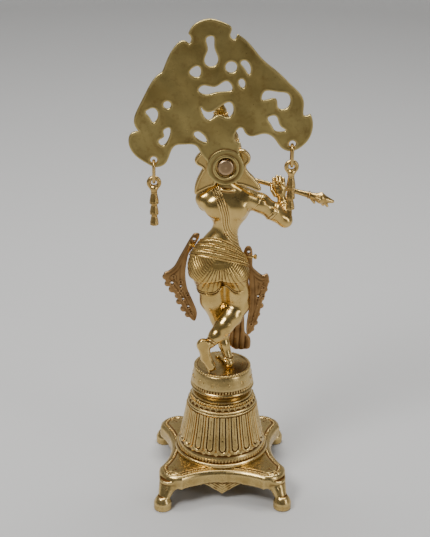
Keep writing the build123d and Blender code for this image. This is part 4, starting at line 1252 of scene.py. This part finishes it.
def make_pendant(side):
    """Flat ring with a spreading neck and three ribbed bells in a string."""
    low, high = box_mm(f"{side}_pendant")
    x, y = (low[0] + high[0]) / 2, (low[1] + high[1]) / 2
    ring_z = high[2] - 6.5
    clay = Clay((x - 9, y - 6, low[2] - 1.5), (x + 9, y + 6, high[2] + 1.5), 0.3)
    clay.add(hoop((x, y, ring_z), (0, 1, 0), 4.6, 2.0, 1.9))
    clay.add(bar((x, y, ring_z - 5.6), (x, y, ring_z - 10), 3.6, 2.4), 1.6)
    top = ring_z - 8.6
    for height, r_top, r_low in ((11.6, 2.5, 4.5), (10.2, 2.5, 4.3), (10.0, 2.4, 4.2)):
        def bell(px, py, pz, top=top, height=height, r_top=r_top, r_low=r_low):
            share = np.clip((top - pz) / height, 0, 1)
            radius = r_top + (r_low - r_top) * share**1.2 - 0.9 * smooth_step(share, 0.92, 1.0)
            around = np.arctan2(py - y, px - x)
            rib = 0.28 * np.abs(np.cos(around * 5)) * smooth_step(share, 0.1, 0.25) * smooth_step(-share,
                                                                                                  -0.85, -0.75)
            collar = 0.4 * np.exp(-((share - 0.06) / 0.05)**2)
            side_gap = np.hypot(px - x, py - y) - radius - rib - collar
            return np.maximum(side_gap, np.maximum(pz - top, top - height - pz))
        clay.add((np.array((x - 5, y - 5, top - height)), np.array((x + 5, y + 5, top)), bell), 0.5)
        top -= height
    clay.trim((0, 0, low[2]), (0, 0, -1))
    clay.cut(bar((x, y - 6, ring_z), (x, y + 6, ring_z), 2.5), 0.3)
    cast(f"{side}_pendant_bells", clay, TRIM_BRASS, [f"{side}_pendant"], f"{side}_pendant")


# ---- pedestal -----------------------------------------------------------------------------------
BELL = [(33.2, 45.3), (34.6, 45.6), (36.2, 45.0), (37.0, 43.4), (41.0, 42.2), (42.0, 42.0), (43.4, 40.9),
        (48, 39.8),
        (55, 38.2), (62.5, 36.4), (72, 34.6), (82.2, 32.9), (82.7, 33.5), (84.0, 33.6), (84.6, 32.5), (85.4,
                                                                                                       33.3),
        (86.4, 33.1), (87.2, 31.5), (90.6, 30.6)]


def bell_radius(z):
    rows = np.array(BELL)
    return np.interp(z, rows[:, 0], rows[:, 1])


PETAL_TURN = 0.80


def petal_lift(s, q):
    """Long rounded petal: raised border, groove, and a smooth panel whose upper half has a fine slot."""
    below = np.clip((s - PETAL_TURN) / (1 - PETAL_TURN), 0, 1)
    across = np.abs(q) * np.sqrt(1 - below**2)
    q = np.hypot(across, below)
    border = smooth_step(q, 0.60, 0.66) * smooth_step(-q, -1.0, -0.92)
    panel = smooth_step(-q, -0.50, -0.40)
    slot = np.exp(-(across / 0.10)**2) * smooth_step(-s, -0.50, -0.44) * smooth_step(s, 0.06, 0.12)
    dot = np.exp(-(across / 0.11)**2 - ((s - 0.60) / 0.014)**2)
    return 0.15 + 1.35 * border + panel * (0.95 + 0.3 * (1 - q * q)) - 0.3 * slot - 0.4 * dot


def make_pedestal():
    outside = [(r, z) for z, r in BELL]
    lower = rounded_profile([(3.3, 92.6), (21, 92.6), (25.6, 89), (27.0, 78), (34, 47), (41.9, 33.0),
                             (45.0, 33.0)] + outside
                            + [(29.7, 90.9), (29.5, 92.9), (28.5, 93.3), (28.7, 93.9), (29.1, 94.8),
                               (28.8, 95.7),
                               (27.8, 96.2), (26.6, 96.4), (3.3, 96.4)], 1.0)
    turned_piece("bell_body", lower, PEDESTAL_BRASS, ["pedestal_bell"], turns=200)
    petals = 20
    pitch = 2 * math.pi / petals

    def half_width(s):
        end = np.sqrt(1 - np.clip((s - PETAL_TURN) / (1 - PETAL_TURN), 0, 1)**2)
        return 0.462 * pitch * bell_radius(81.8 - 37.0 * s) * np.maximum(end, 0.05)

    petal = curved_panel("petal", bell_radius, 44.6, 82.0, half_width, petal_lift, 60, 25)
    ring_of("bell_petals", petal, petals, PEDESTAL_BRASS)

    def spear_width(s):
        return 2.3 * np.clip(s, 0.02, 1) * np.clip((1.02 - s) * 8, 0, 1)

    spear = curved_panel("spear", bell_radius, 43.6, 50.6, spear_width, lambda s, q: 0.8 * (1 - np.abs(q)),
                         8, 5)
    for vertex in spear.data.vertices:
        turn = pitch / 2
        x, y = vertex.co.x, vertex.co.y
        vertex.co.x, vertex.co.y = x * math.cos(turn) - y * math.sin(turn), x * math.sin(turn) + y * math.cos(turn)
    ring_of("bell_spears", spear, petals, PEDESTAL_BRASS)

    def leaf_width(s):
        return 2.6 * np.clip(1.02 - s, 0.04, 1)**0.6

    leaf = curved_panel("leaf", bell_radius, 87.2, 90.9, leaf_width,
                        lambda s, q: 1.0 * np.sqrt(np.clip(1 - q * q, 0,
                                                           1)) - 0.6 * np.exp(-(q / 0.2)**2), 9, 9)
    ring_of("bell_leaves", leaf, 32, PEDESTAL_BRASS)
    rows = (("foot_nicks", 39.0, 42.9, 3.2, 84), ("bell_top_nicks", 91.9, 29.6, 2.1, 60),
            ("drum_low_nicks", 106.0, 29.5, 3.0, 66), ("drum_top_nicks", 122.2, 26.8, 2.2, 56))
    for name, z, r, height, copies in rows:
        nick = curved_panel("nick", lambda at, r=r: r + 0 * at, z - height / 2, z + height / 2,
                            lambda s, r=r, n=copies: 1.9 * r / n + 0 * s,
                            lambda s, q: 0.75 * (1 - q**4) * np.sin(np.clip(s, 0.02,
                                                                            0.98) * math.pi)**0.5, 6, 5)
        ring_of(name, nick, copies, PEDESTAL_BRASS)
    drum = [(0, 119.8), (22, 119.8), (22.6, 99.6), (22.2, 96.5), (26.4, 96.5), (26.6, 98.2), (27.6, 100.0),
            (29.4, 101.2),
            (30.4, 102.2), (30.7, 103.0), (30.3, 103.9), (29.7, 104.4), (29.3, 104.8), (29.2, 107.4), (29.8,
                                                                                                       107.9),
            (29.0, 112.8), (27.9, 118), (27.1, 120.8), (26.6, 121.2), (26.5, 123.0), (26.0, 123.4), (25.2,
                                                                                                     123.4),
            (24.4, 123.15), (0, 123.25)]
    turned_piece("drum_body", rounded_profile(drum, 0.9), PEDESTAL_BRASS, ["seat_drum"], turns=180)
    punch_marks()


def punch_marks():
    """Faint rings and dots punched round the drum's wall."""
    parts = []
    for count in range(12):
        angle = 2 * math.pi * (count + 0.35) / 12
        for offset, ring, tube_r in ((0.0, 1.5, 0.28), (0.17, 0.45, 0.3)):
            a = angle + offset
            out = np.array((math.cos(a), math.sin(a), 0.17))
            side, up_dir = np.array((-math.sin(a), math.cos(a), 0)), np.array((0, 0, 1.0))
            centre = np.array((28.95 * math.cos(a), 28.95 * math.sin(a), 113.6))
            path = [centre + ring * (math.cos(t) * side + math.sin(t) * up_dir) - 0.17 * ring * math.sin(t) * out * np.array((1, 1, 0))
                    for t in np.linspace(0, 2 * math.pi, 18, endpoint=False)]
            parts.append(tube(path, tube_r, closed=True, sides=6))
    finish_piece(joined("drum_punch_marks", parts), PEDESTAL_BRASS, "statue", passes=1)


# ---- stand --------------------------------------------------------------------------------------
def arc_points(a, b, c, count=14):
    """Points from a to c on the circle through a, b and c, without c."""
    (ax, ay), (bx, by), (cx, cy) = a, b, c
    d = 2 * (ax * (by - cy) + bx * (cy - ay) + cx * (ay - by))
    ux = ((ax * ax + ay * ay) * (by - cy) + (bx * bx + by * by) * (cy - ay) + (cx * cx + cy * cy) * (ay - by)) / d
    uy = ((ax * ax + ay * ay) * (cx - bx) + (bx * bx + by * by) * (ax - cx) + (cx * cx + cy * cy) * (bx - ax)) / d
    radius = math.hypot(ax - ux, ay - uy)
    angles = np.unwrap([math.atan2(p[1] - uy, p[0] - ux) for p in (a, b, c)])
    turn = np.linspace(angles[0], angles[2], count, endpoint=False)
    return np.column_stack([ux + radius * np.cos(turn), uy + radius * np.sin(turn)])


FOOT_X, FOOT_Y = STAND_HIGH[0] - 8.5, STAND_HIGH[1] - 8.5


def stand_loop(inset=0.0):
    """Plan outline of the plate: drawn-in sides between four round corner lobes."""
    tip_x, tip_y = FOOT_X + 3.6 - inset, FOOT_Y - 0.9 - inset
    side_x, side_y = FOOT_X - 18.4, FOOT_Y - 22.9
    corner_x, corner_y = FOOT_X - 1.9 - 0.7 * inset, FOOT_Y - 6.4 - 0.7 * inset
    waist = 49.6 - inset
    rows = [arc_points((-side_x, -tip_y), (0, -waist), (side_x, -tip_y), 24),
            arc_points((side_x, -tip_y), (corner_x, -corner_y), (tip_x, -side_y), 20),
            arc_points((tip_x, -side_y), (waist, 0), (tip_x, side_y), 24),
            arc_points((tip_x, side_y), (corner_x, corner_y), (side_x, tip_y), 20),
            arc_points((side_x, tip_y), (0, waist), (-side_x, tip_y), 24),
            arc_points((-side_x, tip_y), (-corner_x, corner_y), (-tip_x, side_y), 20),
            arc_points((-tip_x, side_y), (-waist, 0), (-tip_x, -side_y), 24),
            arc_points((-tip_x, -side_y), (-corner_x, -corner_y), (-side_x, -tip_y), 20)]
    return np.concatenate(rows)


def skirt_low(along):
    """Height of the skirt's lower edge along a side, with small scallops next to the legs."""
    a = np.abs(along)
    return 17.6 + 1.2 * smooth_step(a, 17, 25) + 1.0 * np.cos((a - 42.5) * 0.85) * smooth_step(a, 37, 40)


def apron_low(along):
    return 6.0 + 13.0 * np.clip(np.abs(along) / 17.8, 0, 1)**0.94


def make_stand():
    clay = Clay((-69, -73, -1.5), (69, 73, 35.5), 0.75)
    x, y, z = clay.whole()
    loop = stand_loop()
    edges = np.stack([loop, np.roll(loop, -1, 0)], 1)
    flat = flat_distance(edges, clay.axes[0], clay.axes[1])[:, :, None]
    bulge = 5.2
    a, b = flat + bulge, np.abs(z - 24.6) - 8.4 + bulge
    body = np.minimum(np.maximum(a, b), 0) + np.hypot(np.maximum(a, 0), np.maximum(b, 0)) - bulge
    reach_x, reach_y = FOOT_X - 7.0, FOOT_Y - 7.0
    for along, reach in ((x, reach_x), (y, reach_y)):
        body = -soft_min(-body, np.maximum(np.abs(along) - reach, z - skirt_low(along)), 1.0)
    body = np.maximum(body, 16.8 - z)
    for along, other in ((x, y), (y, x)):
        hanging = np.maximum(np.maximum(flat + 1.6, apron_low(along) - z),
                             np.maximum(z - 24, np.abs(along) - 17.8))
        hanging = np.maximum(hanging, 38 - np.abs(other))
        body = soft_min(body, hanging, 0.8)
    body = np.maximum(body, -np.maximum(flat + 5.4, z - 28.0))
    clay.field = body.astype(np.float32)
    border = np.exp(-((flat + 4.4) / 0.6)**2) + np.exp(-((flat + 7.6) / 0.6)**2)
    on_top = smooth_step(z, 31.0, 32.4)
    engraving = np.zeros_like(flat)
    for side_x in (-1, 1):
        for side_y in (-1, 1):
            px = (side_x * x - (FOOT_X - 8.4)) * 0.707 + (side_y * y - (FOOT_Y - 12.0)) * 0.707
            py = (side_x * x - (FOOT_X - 8.4)) * 0.707 - (side_y * y - (FOOT_Y - 12.0)) * 0.707
            inside = 1 - (px / 7.6)**2 - (py / 9.4)**2
            veins = np.abs(np.sin((px * 0.8 + np.abs(py) * 0.75) * 1.25)) + 0.9 * np.exp(-(py / 0.6)**2)
            engraving = engraving + np.clip(inside * 4, 0, 1) * veins * 0.5
    clay.field += ((0.6 * border + 0.6 * engraving) * on_top).astype(np.float32)
    for along, other in ((x, y), (y, x)):
        over = z - apron_low(along)
        chevrons = sum(np.exp(-((over - level) / 0.55)**2) for level in (2.0, 4.8, 7.6, 10.4))
        here = smooth_step(-np.abs(along), -18.5, -17) * smooth_step(np.abs(other), 38, 40) * smooth_step(-z,
                                                                                                          -21.5, -20.5)
        clay.field += (0.6 * chevrons * here).astype(np.float32)
    for side_x in (-1, 1):
        for side_y in (-1, 1):
            fx, fy = side_x * FOOT_X, side_y * FOOT_Y
            ax, ay = fx - side_x * 1.6, fy - side_y * 1.6
            kx, ky = fx - side_x * 6.4, fy - side_y * 10.6
            share = np.clip((z - 11.5) / 12.5, 0, 1)
            leg = np.hypot(x - ax - (kx - ax) * share, y - ay - (ky - ay) * share) - (6.0 + 3.8 * share)
            leg = np.maximum(leg, np.maximum(10.8 - z, z - 27))
            clay.field = soft_min(clay.field, leg.astype(np.float32), 2.4)
            clay.add(turned_shape(fx, fy, [(0, 8.3), (0.5, 8.55), (6.8, 8.55), (7.8, 8.3), (11.8, 6.4),
                                           (13.0, 5.2)]), 1.0)
            for turn in (-0.55, 0.55):
                angle = math.atan2(side_y, side_x) + turn
                out = np.array((math.cos(angle), math.sin(angle), 0))
                clay.cut(bar(np.array((ax, ay, 14.5)) + out * 7.0, np.array((kx, ky, 22)) + out * 9.9, 0.4),
                         0.8)
    clay.cut(bar((0, 0, 10), (0, 0, 50), 3.3))
    clay.trim((0, 0, 0.02), (0, 0, -1))
    cast("stand_engraved", clay, PEDESTAL_BRASS, ["base_stand"], passes=8)
    border_nicks()


def turned_shape(x0, y0, rows):
    """Body turned about an upright line from z, r rows."""
    rows = np.array(rows, float)

    def distance(x, y, z):
        radius = np.interp(z, rows[:, 0], rows[:, 1])
        side = (np.hypot(x - x0, y - y0) - radius) * 0.85
        return np.maximum(side, np.maximum(rows[0, 0] - z, z - rows[-1, 0]))

    reach = rows[:, 1].max()
    return (np.array((x0 - reach, y0 - reach, rows[0, 0])), np.array((x0 + reach, y0 + reach, rows[-1, 0])),
            distance)


def border_nicks():
    """Rows of small raised nicks between the border lines, all the way round the plate."""
    loop = stand_loop(6.0)  # midway between the two border lines
    path = [(x, y, 33.0) for x, y in loop]
    bead_row("stand_border_nicks", path, True, 190, (0.95, 0.5, 0.6), PEDESTAL_BRASS)


# ---- fixings under the pedestal -----------------------------------------------------------------
def dress_fixings():
    for name in ("tie_rod", "tie_washer", "tie_nut", "tree_spacer"):
        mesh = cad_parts[name].data
        mesh.materials.clear()
        mesh.materials.append(TRIM_BRASS if name == "tree_spacer" else STEEL)


STEEL = brass("zinc-plated steel", "steel_fixings", (0.55, 0.55, 0.56), (0.45, 0.44, 0.44),
              (0.22, 0.17, 0.12), 0.36,
              1.0, 0.4, (1400, 0.3))


# ---- stage, lights and camera ------------------------------------------------------------------
def make_stage():
    """Pale round floor that sweeps up into a plain wall on every side."""
    profile = [(0.0, 0.0), (2300.0, 0.0)]
    profile += [(2300 + 700 * math.sin(t), 700 - 700 * math.cos(t)) for t in np.linspace(0.08, math.pi / 2,
                                                                                         16)]
    profile.append((3000.0, 2600.0))
    turns = 96
    points = [(r * math.cos(t), r * math.sin(t), z) for t in np.linspace(0, 2 * math.pi, turns,
                                                                         endpoint=False)
              for r, z in profile[1:]] + [(0, 0, 0)]
    count, hub = len(profile) - 1, turns * (len(profile) - 1)
    polygons = [(hub, k * count, (k + 1) % turns * count) for k in range(turns)]
    polygons += [(k * count + j, k * count + j + 1, (k + 1) % turns * count + j + 1,
                  (k + 1) % turns * count + j)
                 for k in range(turns) for j in range(count - 1)]
    floor = make_mesh("floor", points, polygons)
    floor.data.shade_smooth()
    paint = bpy.data.materials.new("pale floor")
    paint.use_nodes = True
    shader = paint.node_tree.nodes["Principled BSDF"]
    shader.inputs["Base Color"].default_value = (0.50, 0.495, 0.485, 1)
    shader.inputs["Roughness"].default_value = 0.75
    floor.data.materials.append(paint)


def soft_light(name, place, target, size, power, tint=(1, 1, 1)):
    lamp = bpy.data.lights.new(name, "AREA")
    lamp.shape = "RECTANGLE"
    lamp.size, lamp.size_y = size
    lamp.energy = power
    lamp.color = tint
    thing = bpy.data.objects.new(name, lamp)
    thing.location = place
    thing.rotation_euler = (Vector(target) - Vector(place)).to_track_quat("-Z", "Y").to_euler()
    bpy.context.scene.collection.objects.link(thing)


def make_lights():
    world = bpy.data.worlds.new("studio")
    bpy.context.scene.world = world
    world.use_nodes = True
    back = world.node_tree.nodes["Background"]
    back.inputs["Color"].default_value = (0.62, 0.64, 0.68, 1)
    back.inputs["Strength"].default_value = 0.09
    soft_light("key", (-0.75, -0.75, 1.45), (0, 0, 0.25), (0.55, 0.55), 22)
    soft_light("top", (0.15, 0.25, 1.5), (0, 0, 0.2), (1.1, 0.9), 13)
    soft_light("fill", (1.2, -0.9, 0.65), (0, 0, 0.2), (0.35, 0.9), 5)
    soft_light("backdrop", (0, 0.6, 2.2), (0, 2.0, 0.2), (2.0, 0.6), 40)


def make_camera():
    lens = bpy.data.cameras.new("camera")
    lens.lens = 85
    lens.sensor_width = 36
    lens.clip_start = 0.05
    lens.dof.use_dof = False
    camera = bpy.data.objects.new("camera", lens)
    camera.location = (-0.0366, -1.0904, 0.6899)
    turn, down, roll = math.radians(-1.498), math.radians(23.164), math.radians(0.636)
    camera.rotation_mode = "XYZ"
    facing = Matrix.Rotation(turn, 3, "Z") @ Matrix.Rotation(math.radians(90) - down, 3, "X")
    camera.rotation_euler = (facing @ Matrix.Rotation(roll, 3, "Z")).to_euler()
    bpy.context.scene.collection.objects.link(camera)
    bpy.context.scene.camera = camera


make_torso()
make_right_arm()
make_left_arm()
make_belt()
make_dhoti()
make_left_leg()
make_right_leg()
make_head()
make_tree()
make_stud()
make_flare("left", LEFT_FLARE)
make_flare("right", RIGHT_FLARE)
make_sash("left", LEFT_SASH, LEFT_LOBES, LEFT_HOLES)
make_sash("right", RIGHT_SASH, RIGHT_LOBES, RIGHT_HOLES)
make_tail()
make_rivets()
make_flute()
for side in ("left", "right"):
    make_link(side)
    make_pendant(side)
make_pedestal()
make_stand()
dress_fixings()
make_stage()
make_lights()
make_camera()
